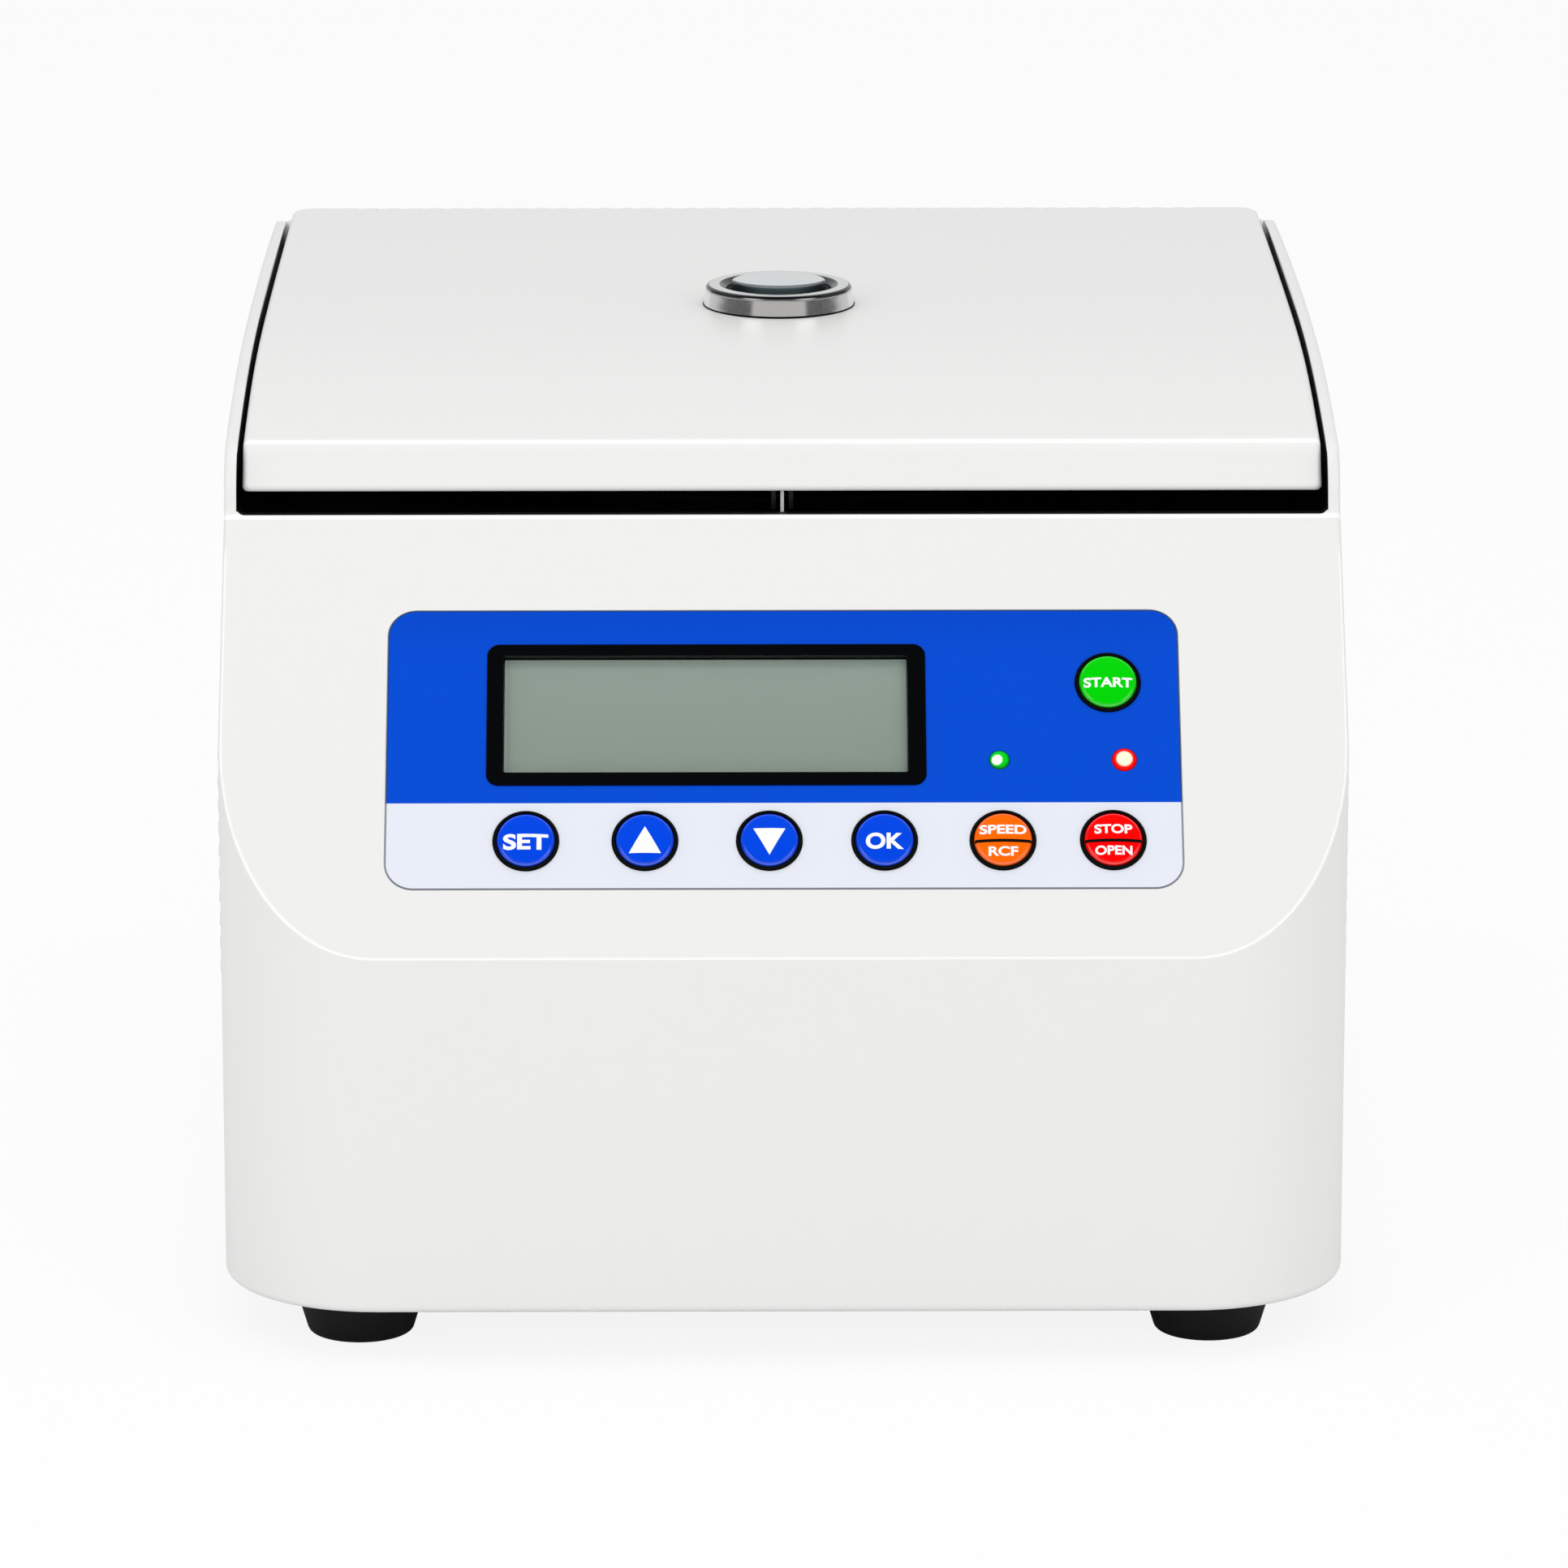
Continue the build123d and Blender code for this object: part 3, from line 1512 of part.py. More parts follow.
with BuildPart() as power_inlet:
    with BuildSketch(Plane.XZ.offset(-panel_face)):
        with Locations((inlet_x, inlet_z)):
            RectangleRounded(2 * inlet_half[0], 2 * inlet_half[1], 5)
    extrude(amount=-flange)
    with BuildSketch(Plane.XZ.offset(-panel_face)):
        with Locations((inlet_x, inlet_z)):
            Rectangle(*inlet_body)
    extrude(amount=22)
    with BuildSketch(Plane.XZ.offset(-panel_face - flange)):
        with Locations((inlet_x, inlet_z)):
            Rectangle(24.5, 17)
        chamfer(vertices().group_by(Axis.Z)[-1], length=4.5)
    extrude(amount=17, mode=Mode.SUBTRACT)
    with BuildSketch(Plane.XZ.offset(-panel_face - 0.8)):
        with Locations((inlet_x, inlet_z)):
            with GridLocations(2 * inlet_screw, 1, 2, 1):
                Circle(3, mode=Mode.ADD)
    extrude(amount=-5, mode=Mode.SUBTRACT)
    with BuildSketch(Plane.XZ.offset(-panel_face)):
        with Locations((inlet_x, inlet_z)):
            with GridLocations(2 * inlet_screw, 1, 2, 1):
                Circle(screw_r)
    extrude(amount=-5, mode=Mode.SUBTRACT)
export(power_inlet.part, "power_inlet")

with BuildPart() as inlet_pins:
    with BuildSketch(Plane.XZ.offset(-panel_face - flange + 17)):
        with Locations(
            (inlet_x - 7, inlet_z - 2), (inlet_x, inlet_z + 2), (inlet_x + 7, inlet_z - 2)
        ):
            Rectangle(2, 4)
    extrude(amount=-12)
export(inlet_pins.part, "inlet_pins")

with BuildPart() as switch_frame:
    with BuildSketch(Plane.XZ.offset(-panel_face)):
        with Locations((inlet_x, switch_z)):
            RectangleRounded(2 * switch_half[0], 2 * switch_half[1], 1.5)
    extrude(amount=-flange)
    with BuildSketch(Plane.XZ.offset(-panel_face)):
        with Locations((inlet_x, switch_z)):
            Rectangle(*switch_body)
    extrude(amount=16)
    with BuildSketch(Plane.XZ.offset(-panel_face - flange)):
        with Locations((inlet_x, switch_z)):
            Rectangle(*rocker_hole)
    extrude(amount=13, mode=Mode.SUBTRACT)
    with BuildSketch(Plane.YZ.offset(inlet_x - rocker_hole[0] / 2 - 1)):
        with Locations((back(rocker_depth), switch_z)):
            Circle(rocker_r + running)
    extrude(amount=rocker_hole[0] + 2, mode=Mode.SUBTRACT)
export(switch_frame.part, "switch_frame")

rocker_plane = Plane(
    origin=(inlet_x - rocker_hole[0] / 2 + 0.3, back(rocker_depth), switch_z),
    x_dir=(0, math.cos(math.radians(rocker_tilt)), math.sin(math.radians(rocker_tilt))),
    z_dir=(1, 0, 0),
)

with BuildPart() as power_rocker:
    with BuildSketch(rocker_plane):
        with BuildLine():
            Polyline(
                (3.3, -9.3),
                (2.5, 0.0),
                (3.3, 9.3),
                (-0.5, 8.9),
                (-4.0, 4.0),
                (-4.0, -4.0),
                (-0.5, -8.9),
                close=True,
            )
        make_face()
    extrude(amount=rocker_hole[0] - 0.6)
    with BuildSketch(Plane.YZ.offset(inlet_x - rocker_hole[0] / 2 - 0.9)):
        with Locations((back(rocker_depth), switch_z)):
            Circle(rocker_r)
    extrude(amount=rocker_hole[0] + 1.8)
export(power_rocker.part, "power_rocker")
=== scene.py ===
import math

import bmesh
import bpy
from mathutils import Matrix, Vector


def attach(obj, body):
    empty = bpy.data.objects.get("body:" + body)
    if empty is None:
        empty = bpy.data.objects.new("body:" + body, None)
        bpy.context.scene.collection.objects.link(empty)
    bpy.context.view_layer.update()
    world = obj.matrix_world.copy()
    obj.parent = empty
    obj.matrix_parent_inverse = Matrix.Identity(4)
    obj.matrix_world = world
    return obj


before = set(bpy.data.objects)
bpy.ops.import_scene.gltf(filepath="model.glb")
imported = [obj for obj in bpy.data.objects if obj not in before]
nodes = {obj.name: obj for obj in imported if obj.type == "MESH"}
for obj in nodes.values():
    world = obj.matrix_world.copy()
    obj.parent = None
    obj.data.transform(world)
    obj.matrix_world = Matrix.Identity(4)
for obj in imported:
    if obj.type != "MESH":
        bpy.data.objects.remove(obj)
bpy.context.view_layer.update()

MM = 0.001
AXIS_Y = 0.035
FRONT_Y = -0.195
CREASE_Z = 0.1105
LIP_DEPTH = 0.0843
LIP_Z = 0.2109
LEAN = math.atan2(LIP_DEPTH, LIP_Z - CREASE_Z)
LEAN_SIN = math.sin(LEAN)
LEAN_COS = math.cos(LEAN)

CREASE = (0, FRONT_Y, CREASE_Z)
UP_SLOPE = (0, LEAN_SIN, LEAN_COS)
OUT_OF_SLOPE = (0, -LEAN_COS, LEAN_SIN)

# The console's own frame: X across, Y up the slope, Z out of it
console = Matrix(
    (
        (1, 0, 0, 0),
        (0, LEAN_SIN, -LEAN_COS, FRONT_Y),
        (0, LEAN_COS, LEAN_SIN, CREASE_Z),
        (0, 0, 0, 1),
    )
)


# Finishes


class Value:
    """A number or colour in a finish. Arithmetic on it adds Math nodes."""

    def __init__(self, finish, socket):
        self.finish = finish
        self.socket = socket

    def math(self, operation, *values):
        return self.finish.add("ShaderNodeMath", {"operation": operation}, values)

    def __add__(self, other):
        return self.math("ADD", self, other)

    def __sub__(self, other):
        return self.math("SUBTRACT", self, other)

    def __rsub__(self, other):
        return self.math("SUBTRACT", other, self)

    def __mul__(self, other):
        return self.math("MULTIPLY", self, other)

    def __truediv__(self, other):
        return self.math("DIVIDE", self, other)

    def __abs__(self):
        return self.math("ABSOLUTE", self)

    __radd__ = __add__
    __rmul__ = __mul__


class Finish:
    """One material: a Principled shader with its constants, and what varies over the surface."""

    def __init__(self, name, colour, **constants):
        self.material = bpy.data.materials.new(name)
        self.material.use_nodes = True
        self.tree = self.material.node_tree
        self.shader = self.tree.nodes["Principled BSDF"]
        self.shader.inputs["Base Color"].default_value = (*colour, 1)
        for socket, value in constants.items():
            self.fix(socket.replace("_", " "), value)
        self.place = self.add("ShaderNodeTexCoord", {}, (), "Object")

    def add(self, kind, settings, values, output=0):
        """A node with its settings, then its sockets' values or links. Gives back one output."""
        node = self.tree.nodes.new(kind)
        stops = settings.pop("stops", None)
        for key, value in settings.items():
            setattr(node, key, value)
        if stops:
            ramp = node.color_ramp
            while len(ramp.elements) < len(stops):
                ramp.elements.new(0.5)
            for element, (position, colour) in zip(ramp.elements, stops):
                element.position = position
                element.color = (*colour, 1)
        pairs = values.items() if isinstance(values, dict) else enumerate(values)
        for key, value in pairs:
            if isinstance(value, Value):
                self.tree.links.new(value.socket, node.inputs[key])
            else:
                node.inputs[key].default_value = value
        return Value(self, node.outputs[output])

    def axes(self, place=None):
        """The three coordinates of a place."""
        place = place or self.place
        split = self.add("ShaderNodeSeparateXYZ", {}, (place,))
        outputs = split.socket.node.outputs
        return [Value(self, outputs[axis]) for axis in "XYZ"]

    def along(self, direction, origin=(0, 0, 0)):
        """Distance of the surface along a direction from an origin."""
        moved = self.add(
            "ShaderNodeVectorMath", {"operation": "SUBTRACT"}, (self.place, origin)
        )
        return self.add(
            "ShaderNodeVectorMath", {"operation": "DOT_PRODUCT"}, (moved, direction), "Value"
        )

    def noise(self, scale, detail=2.0, rough=0.5, place=None):
        return self.add(
            "ShaderNodeTexNoise",
            {},
            {
                "Vector": place or self.place,
                "Scale": scale,
                "Detail": detail,
                "Roughness": rough,
            },
            "Fac",
        )

    def stretched(self, scale):
        """Object place with each axis scaled, for grain that runs one way."""
        return self.add("ShaderNodeMapping", {}, {"Vector": self.place, "Scale": scale})

    def ramp(self, factor, low, high, smooth=True):
        """0 below low, 1 above high."""
        return self.add(
            "ShaderNodeMapRange",
            {"interpolation_type": "SMOOTHSTEP" if smooth else "LINEAR"},
            {"Value": factor, "From Min": low, "From Max": high},
        )

    def band(self, value, low, high, soft):
        """1 where a value lies between two limits, with soft edges."""
        return self.ramp(value, low - soft, low + soft) * (
            1 - self.ramp(value, high - soft, high + soft)
        )

    def reach(self, first, second):
        """Distance from the middle, from two coordinates."""
        return self.add(
            "ShaderNodeMath", {"operation": "SQRT"}, (first * first + second * second,)
        )

    def larger(self, first, second):
        return self.add("ShaderNodeMath", {"operation": "MAXIMUM"}, (first, second))

    def on_console(self, place):
        """Coordinates across and up the console, from a place on it in millimetres."""
        across = self.axes()[0] - place[0] * MM
        return across, self.along(UP_SLOPE, CREASE) - place[1] * MM

    def mix(self, mask, first, second):
        node = self.tree.nodes.new("ShaderNodeMix")
        node.data_type = "RGBA"
        for key, value in ((0, mask), (6, first), (7, second)):
            if isinstance(value, Value):
                self.tree.links.new(value.socket, node.inputs[key])
            else:
                node.inputs[key].default_value = value if key == 0 else (*value, 1)
        return Value(self, node.outputs[2])

    def set(self, socket, value):
        self.tree.links.new(value.socket, self.shader.inputs[socket])

    def fix(self, socket, value):
        """A number that is the same all over the surface."""
        self.shader.inputs[socket].default_value = value

    def bump(self, height, distance):
        sockets = {"Strength": 1.0, "Distance": distance, "Height": height}
        self.set("Normal", self.add("ShaderNodeBump", {}, sockets))


CLOUD_SIZE = 22.0
CLOUD_GLOSS = 0.08
GRAIN_GLOSS = 0.03
MOULDED_BELOW = 0.05


def moulded(name, colour, roughness, grain=0.00001, grain_size=1500.0):
    """Moulded plastic: a faint spark-eroded grain, and gloss that varies a little."""
    finish = Finish(name, colour, Roughness=roughness)
    cloud = finish.noise(CLOUD_SIZE, 3.0)
    fine = finish.noise(grain_size, 1.0)
    lowest = roughness - MOULDED_BELOW
    finish.set("Roughness", lowest + cloud * CLOUD_GLOSS + fine * GRAIN_GLOSS)
    finish.bump(fine, grain)
    return finish


METAL_GRAIN = 900.0
BRUSH_GLOSS = 0.14
METAL_BELOW = 0.06


def metal(name, colour, roughness, brush=None, depth=0.000004):
    """Metal with a fine grain, brushed along an axis if asked."""
    finish = Finish(name, colour, Metallic=1.0, Roughness=roughness)
    place = finish.stretched(brush) if brush else finish.place
    grain = finish.noise(1.0 if brush else METAL_GRAIN, 3.0, 0.6, place)
    finish.set("Roughness", roughness - METAL_BELOW + grain * BRUSH_GLOSS)
    finish.bump(grain, depth)
    return finish


SHELL_COLOUR = (0.80, 0.80, 0.79)
BLACK = (0.004, 0.004, 0.004)
shell_white = moulded("off-white housing", SHELL_COLOUR, 0.40)
lid_white = moulded("off-white lid", SHELL_COLOUR, 0.34)

# Inside the lid's bay the housing is coloured black, up to just below the top of the wings:
# painted shade for the deep gap round the lid
BAY_HALF = 0.14665
BAY_FRONT_Y = -0.1105
BAY_FLOOR_Z = 0.2087
BAY_REAR = (0.150, 0.180)
WING_CREST_Y = 0.027
WING_CREST_Z = 0.2408
WING_FRONT_RUN = 0.122
WING_FRONT_DROP = 0.0118
SHADE_MARGIN = 0.0012
SHADE_EDGE = 0.00004
FLOOR_EDGE = 0.0001
CREST_EDGE = 0.0002
across, depth, height = shell_white.axes()
forward = shell_white.larger(WING_CREST_Y - depth, 0.0) / WING_FRONT_RUN
shade_top = WING_CREST_Z - SHADE_MARGIN - forward * forward * WING_FRONT_DROP
# Painted shade: black over the bay's inner walls and the lip's top
bay_shade = (
    (1 - shell_white.ramp(abs(across), BAY_HALF, BAY_HALF + SHADE_EDGE, False))
    * shell_white.ramp(depth, BAY_FRONT_Y, BAY_FRONT_Y + SHADE_EDGE, False)
    * shell_white.ramp(height, BAY_FLOOR_Z - FLOOR_EDGE, BAY_FLOOR_Z, False)
    * (1 - shell_white.ramp(height - shade_top, 0.0, CREST_EDGE, False))
    * (1 - shell_white.ramp(depth, *BAY_REAR))
)

# Painted highlights: lighter bands along the crease below the console, its lip and the lid's
# front crest
HIGHLIGHT_COLOUR = (0.95, 0.95, 0.94)
SHELL_HIGHLIGHT = 0.85
LID_HIGHLIGHT = 0.9
CREASE_BAND = (-0.00040, -0.00006, 0.00004)
CREASE_END_Z = (0.2, 0.205)
LIP_BAND = (0.1298, 0.1312, 0.0003)
LIP_FRONT_Y = (-0.1135, -0.1130)
LIP_LOW_Z = (0.2055, 0.2065)
LID_CREST_BAND = (-0.0987, -0.0972, 0.0004)
out_of_slope = shell_white.along(OUT_OF_SLOPE, CREASE)
up_slope = shell_white.along(UP_SLOPE, CREASE)
crease_highlight = shell_white.band(out_of_slope, *CREASE_BAND)
crease_highlight = crease_highlight * (1 - shell_white.ramp(height, *CREASE_END_Z))
lip_highlight = shell_white.band(up_slope, *LIP_BAND)
lip_highlight = lip_highlight * shell_white.ramp(depth, *LIP_FRONT_Y) * shell_white.ramp(height, *LIP_LOW_Z)
# Painted highlights on the housing's crease and lip
polish_and_highlight = shell_white.larger(crease_highlight, lip_highlight)
shell_colour = shell_white.mix(polish_and_highlight * SHELL_HIGHLIGHT, SHELL_COLOUR, HIGHLIGHT_COLOUR)
# The housing's colour, with painted highlights and the bay's painted shade
shell_white.set("Base Color", shell_white.mix(bay_shade, shell_colour, BLACK))
# Painted highlight along the lid's front crest
crest_highlight = lid_white.band(lid_white.axes()[1], *LID_CREST_BAND)
lid_white.set("Base Color", lid_white.mix(crest_highlight * LID_HIGHLIGHT, SHELL_COLOUR, HIGHLIGHT_COLOUR))

# Plastics, rubbers and metals of the other pieces
STEEL = (0.60, 0.60, 0.61)
CHROME = (0.86, 0.86, 0.86)
FLANGE_LOW_Z = (0.2086, 0.2088)

deck_black = moulded("black deck coat", (0.004, 0.004, 0.005), 0.14, 0.000002)
liner_grey = moulded("grey liner", (0.42, 0.43, 0.43), 0.45)
rubber_black = moulded("black rubber", (0.0045, 0.0045, 0.0045), 0.55, 0.00003, 900.0)
seal_black = moulded("black seal rubber", BLACK, 0.5, 0.00001, 900.0)
satin_black = moulded("satin black plastic", (0.006, 0.006, 0.007), 0.34)
panel_black = moulded("black bezel plastic", (0.0015, 0.0018, 0.0022), 0.22, 0.000003)
painted_grey = moulded("grey powder coat", (0.30, 0.31, 0.32), 0.5, 0.00003, 700.0)
stainless = metal("stainless bowl", STEEL, 0.26, (30.0, 30.0, 4000.0))
# Painted shade: the bowl's top flange is coloured black and not metal, so the rim stays dark in
# the slot
flange_shade = stainless.ramp(stainless.axes()[2], *FLANGE_LOW_Z)
stainless.set("Base Color", stainless.mix(flange_shade, STEEL, BLACK))
stainless.set("Metallic", 1 - flange_shade)
zinc = metal("zinc plate", (0.58, 0.58, 0.56), 0.32)
alloy = metal("anodised rotor", (0.63, 0.64, 0.66), 0.30, (2500.0, 2500.0, 2500.0))
cast = metal("cast alloy", (0.42, 0.43, 0.44), 0.5)
iron = metal("lacquered iron", (0.16, 0.16, 0.17), 0.5)
copper = metal("enamelled copper", (0.55, 0.25, 0.12), 0.35)
chrome = metal("polished chrome", CHROME, 0.12, None, 0.0000004)
board = moulded("solder mask", (0.01, 0.09, 0.035), 0.3)
nylon = moulded("pale nylon", (0.70, 0.70, 0.68), 0.4)
hook_white = moulded("white hook coat", (0.88, 0.88, 0.87), 0.3)
for finish in (panel_black, rubber_black, satin_black):
    finish.fix("Specular IOR Level", 0.22)
for finish in (seal_black, deck_black, stainless):
    finish.fix("Specular IOR Level", 0.04)

# Sight ring: chrome with painted dark reflections on its shoulder and inner bevel
RING_DARK = (0.02, 0.022, 0.025)
RING_DARKEN = 0.93
SHOULDER_BAND = (0.0198, 0.0207, 0.0002)
SHOULDER_LOW_Z = (0.2448, 0.2452)
BEVEL_END = (0.0167, 0.0170)
ring_chrome = metal("sight ring chrome", CHROME, 0.12, None, 0.0000004)
across, depth, height = ring_chrome.axes()
reach = ring_chrome.reach(across, depth - AXIS_Y)
shoulder = ring_chrome.band(reach, *SHOULDER_BAND) * ring_chrome.ramp(height, *SHOULDER_LOW_Z)
bevel = 1 - ring_chrome.ramp(reach, *BEVEL_END)
# Painted dark reflections on the shoulder and inner bevel
painted_reflection = ring_chrome.larger(shoulder, bevel) * RING_DARKEN
ring_chrome.set("Base Color", ring_chrome.mix(painted_reflection, CHROME, RING_DARK))

# Label film: blue above, pale below, a dark line of painted shade round its edge
FILM_BLUE = (0.0012, 0.068, 0.605)
FILM_BLUE_TOP = (0.001, 0.061, 0.555)
FILM_TOP_SHADE = (0.085, 0.1021)
FILM_PALE = (0.73, 0.755, 0.83)
FILM_EDGE_SHADE_BLUE = (0.02, 0.05, 0.16)
FILM_EDGE_SHADE_PALE = (0.22, 0.24, 0.28)
FILM_EDGE = (0.00034, 0.00026)
PRINT_EDGE = 0.00006
FILM_SPLIT = 0.045
FILM_MIDDLE = 0.061
FILM_HALF = (0.1052, 0.0411)
FILM_CORNER = 0.0075
overlay = Finish("label film", FILM_BLUE, Roughness=0.32, Specular_IOR_Level=0.04)
slope = overlay.along(UP_SLOPE, CREASE)
across = overlay.axes()[0]
pale_part = 1 - overlay.ramp(slope, FILM_SPLIT - PRINT_EDGE, FILM_SPLIT + PRINT_EDGE)
shade = overlay.ramp(slope, *FILM_TOP_SHADE)
blue = overlay.mix(shade, FILM_BLUE, FILM_BLUE_TOP)
colour = overlay.mix(pale_part, blue, FILM_PALE)
side = overlay.larger(abs(across) - (FILM_HALF[0] - FILM_CORNER), 0.0)
end = overlay.larger(abs(slope - FILM_MIDDLE) - (FILM_HALF[1] - FILM_CORNER), 0.0)
reach = overlay.reach(side, end)
# Painted shade along the film's edge
edge_shade = overlay.ramp(reach, FILM_CORNER - FILM_EDGE[0], FILM_CORNER - FILM_EDGE[1])
edge_shade_colour = overlay.mix(pale_part, FILM_EDGE_SHADE_BLUE, FILM_EDGE_SHADE_PALE)
overlay.set("Base Color", overlay.mix(edge_shade, colour, edge_shade_colour))


GLOSSY_SHOULDER = (0.0066, 0.0071)


def key_finish(name, colour, place):
    """Coloured key with a glossy shoulder."""
    finish = Finish(
        name,
        colour,
        Roughness=0.25,
        Specular_IOR_Level=0.04,
        Coat_Roughness=0.06,
        Coat_IOR=1.9,
    )
    reach = finish.reach(*finish.on_console(place))
    finish.set("Coat Weight", finish.ramp(reach, *GLOSSY_SHOULDER))
    return finish


KEY_ROW = 33.9
KEY_PLACES = {
    "set": (-68.1, KEY_ROW),
    "up": (-36.7, KEY_ROW),
    "down": (-3.9, KEY_ROW),
    "ok": (26.5, KEY_ROW),
    "speed": (57.7, KEY_ROW),
    "stop": (86.8, KEY_ROW),
    "start": (86.3, 80.4),
}
KEY_BLUE = (0.0, 0.058, 0.72)
KEY_COLOURS = {
    "set": KEY_BLUE,
    "up": KEY_BLUE,
    "down": KEY_BLUE,
    "ok": KEY_BLUE,
    "speed": (1.0, 0.135, 0.0),
    "stop": (0.92, 0.0, 0.0),
    "start": (0.0, 0.62, 0.001),
}
key_finishes = {
    key: key_finish(f"{key} key", KEY_COLOURS[key], KEY_PLACES[key]) for key in KEY_PLACES
}
legend_white = moulded("white legend ink", (0.90, 0.90, 0.90), 0.4, 0.000001)
# Black ink for the key dividers, and painted shade for the screw recesses
black_ink_and_shade = moulded("black ink and recess shade", (0.003, 0.003, 0.003), 0.5, 0.000001)
black_ink_and_shade.fix("Specular IOR Level", 0.1)
legend_grey = moulded("grey marking ink", (0.10, 0.10, 0.11), 0.5, 0.000001)


LAMP_GLOW = 0.22
LAMP_ROW = 57.5
CORE_EDGE = (0.78, 1.06)
RIM_EDGE = (0.72, 1.02)


def lens(name, place, radius, body, core, core_size, shift, rim):
    """Lamp lens: a bright core on a coloured lens with a darker rim, all glowing a little. The
    red core is the lit lamp; the green core is a painted highlight.
    """
    finish = Finish(name, body, Roughness=0.2, Specular_IOR_Level=0.06)
    across, rise = finish.on_console(place)
    reach = finish.reach(across, rise)
    near = finish.reach(across - shift[0] * MM, rise - shift[1] * MM)
    glow = 1 - finish.ramp(near, *[core_size * part * MM for part in CORE_EDGE])
    dark = finish.ramp(reach, *[radius * part * MM for part in RIM_EDGE])
    lit = finish.mix(glow, finish.mix(dark, body, rim), core)
    finish.set("Base Color", lit)
    finish.set("Emission Color", lit)
    finish.fix("Emission Strength", LAMP_GLOW)
    return finish


# Painted highlight: the green lamp's pale core, shifted down and to the left
lens_green = lens(
    "green lamp lens",
    (57.1, LAMP_ROW),
    2.6,
    body=(0.0, 0.55, 0.01),
    core=(0.80, 1.0, 0.80),
    core_size=1.5,
    shift=(-0.65, -0.45),
    rim=(0.0, 0.24, 0.01),
)
lens_red = lens(
    "red lamp lens",
    (90.2, LAMP_ROW),
    3.2,
    body=(0.92, 0.006, 0.006),
    core=(0.95, 0.76, 0.56),
    core_size=2.3,
    shift=(0.0, -0.1),
    rim=(0.72, 0.0, 0.0),
)

# Display: grey-green, with painted light a little lighter at the top, and painted highlights
# along its left and lower edges
DISPLAY_LOW = (0.300, 0.375, 0.317)
DISPLAY_HIGH = (0.330, 0.410, 0.356)
DISPLAY_EDGE_HIGHLIGHT = (0.58, 0.66, 0.60)
DISPLAY_HIGHLIGHT_SHARE = 0.5
DISPLAY_SHADE = (0.054, 0.088)
DISPLAY_FOOT = (0.0548, 0.0553)
DISPLAY_LEFT = (-0.0737, -0.0731)
display_grey = Finish("display face", DISPLAY_LOW, Roughness=0.45)
across = display_grey.axes()[0]
rise = display_grey.along(UP_SLOPE, CREASE)
# Painted light: lighter towards the top
face = display_grey.mix(display_grey.ramp(rise, *DISPLAY_SHADE), DISPLAY_LOW, DISPLAY_HIGH)
inside = display_grey.ramp(rise, *DISPLAY_FOOT) * display_grey.ramp(across, *DISPLAY_LEFT)
# Painted highlights along the left and lower edges
edge_highlight = (1 - inside) * DISPLAY_HIGHLIGHT_SHARE
display_grey.set("Base Color", display_grey.mix(edge_highlight, face, DISPLAY_EDGE_HIGHLIGHT))
clear = Finish(
    "clear window", (0.02, 0.03, 0.025), Roughness=0.08, Alpha=0.07, Specular_IOR_Level=0.3
)

# Sight glass: a painted reflection of the room, pale over most of it, and painted shade in a
# crescent at its front where the chamber shows through, darker towards the sides
GLASS_SHIFT = 0.0045
GLASS_PALE_END = (0.0134, 0.0142)
GLASS_PALE = (0.60, 0.63, 0.63)
GLASS_FRONT = (0.05, 0.07, 0.075)
GLASS_SIDE = (0.012, 0.018, 0.02)
GLASS_SIDE_X = (0.004, 0.012)
glass = Finish("sight glass", (0.4, 0.43, 0.43), Roughness=0.12, Specular_IOR_Level=0.12)
across, depth, height = glass.axes()
through = glass.ramp(glass.reach(across, depth - (AXIS_Y + GLASS_SHIFT)), *GLASS_PALE_END)
front = glass.mix(glass.ramp(abs(across), *GLASS_SIDE_X), GLASS_FRONT, GLASS_SIDE)
glass.set("Base Color", glass.mix(through, GLASS_PALE, front))

dressed = {
    shell_white: ["main_housing"],
    lid_white: ["lid_shell"],
    deck_black: ["deck_plate"],
    liner_grey: ["lid_liner"],
    rubber_black: ["rubber_feet", "motor_dampers", "shaft_boot"],
    seal_black: ["window_gaskets", "chamber_gasket", "key_pad"],
    panel_black: ["display_bezel"],
    satin_black: [
        "fan_frame",
        "fan_impeller",
        "power_inlet",
        "switch_frame",
        "power_rocker",
        "lock_housing",
        "window_nut",
        "tact_switches",
        "hook_bracket",
    ],
    painted_grey: ["base_plate", "rear_panel", "guard_ring", "hinge_brackets"],
    stainless: ["chamber_bowl"],
    zinc: [
        "foot_screws",
        "rear_screws",
        "lid_screws",
        "motor_bearings",
        "motor_shaft",
        "lock_bolt",
        "lock_motor",
    ],
    alloy: ["rotor"],
    cast: ["motor_mount", "motor_can", "heat_sink"],
    iron: ["stator", "motor_core"],
    copper: ["windings", "inlet_pins"],
    chrome: ["fan_guard", "rotor_nut"],
    ring_chrome: ["window_bezel"],
    board: ["control_board", "drive_board"],
    nylon: ["hinge_pins"],
    hook_white: ["lid_hook"],
    overlay: ["panel_overlay"],
    lens_green: ["lamp_green"],
    lens_red: ["lamp_red"],
    display_grey: ["display_module"],
    clear: ["display_window"],
    glass: ["window_glass"],
}
for key, finish in key_finishes.items():
    dressed[finish] = ["key_" + key]
for finish, names in dressed.items():
    for name in names:
        mesh = nodes[name].data
        mesh.materials.clear()
        mesh.materials.append(finish.material)


# Lettering on the keys

# Millimetres: the key's radius, its dome's radius, and the heights of its top and its two edges
KEY_R = 7.7
KEY_FLAT = 6.6
KEY_TOP = 2.0
KEY_SHOULDER = 1.4
KEY_EDGE = 0.4
INK = 0.09
CUT = 0.4
CUTS_EACH_WAY = 19


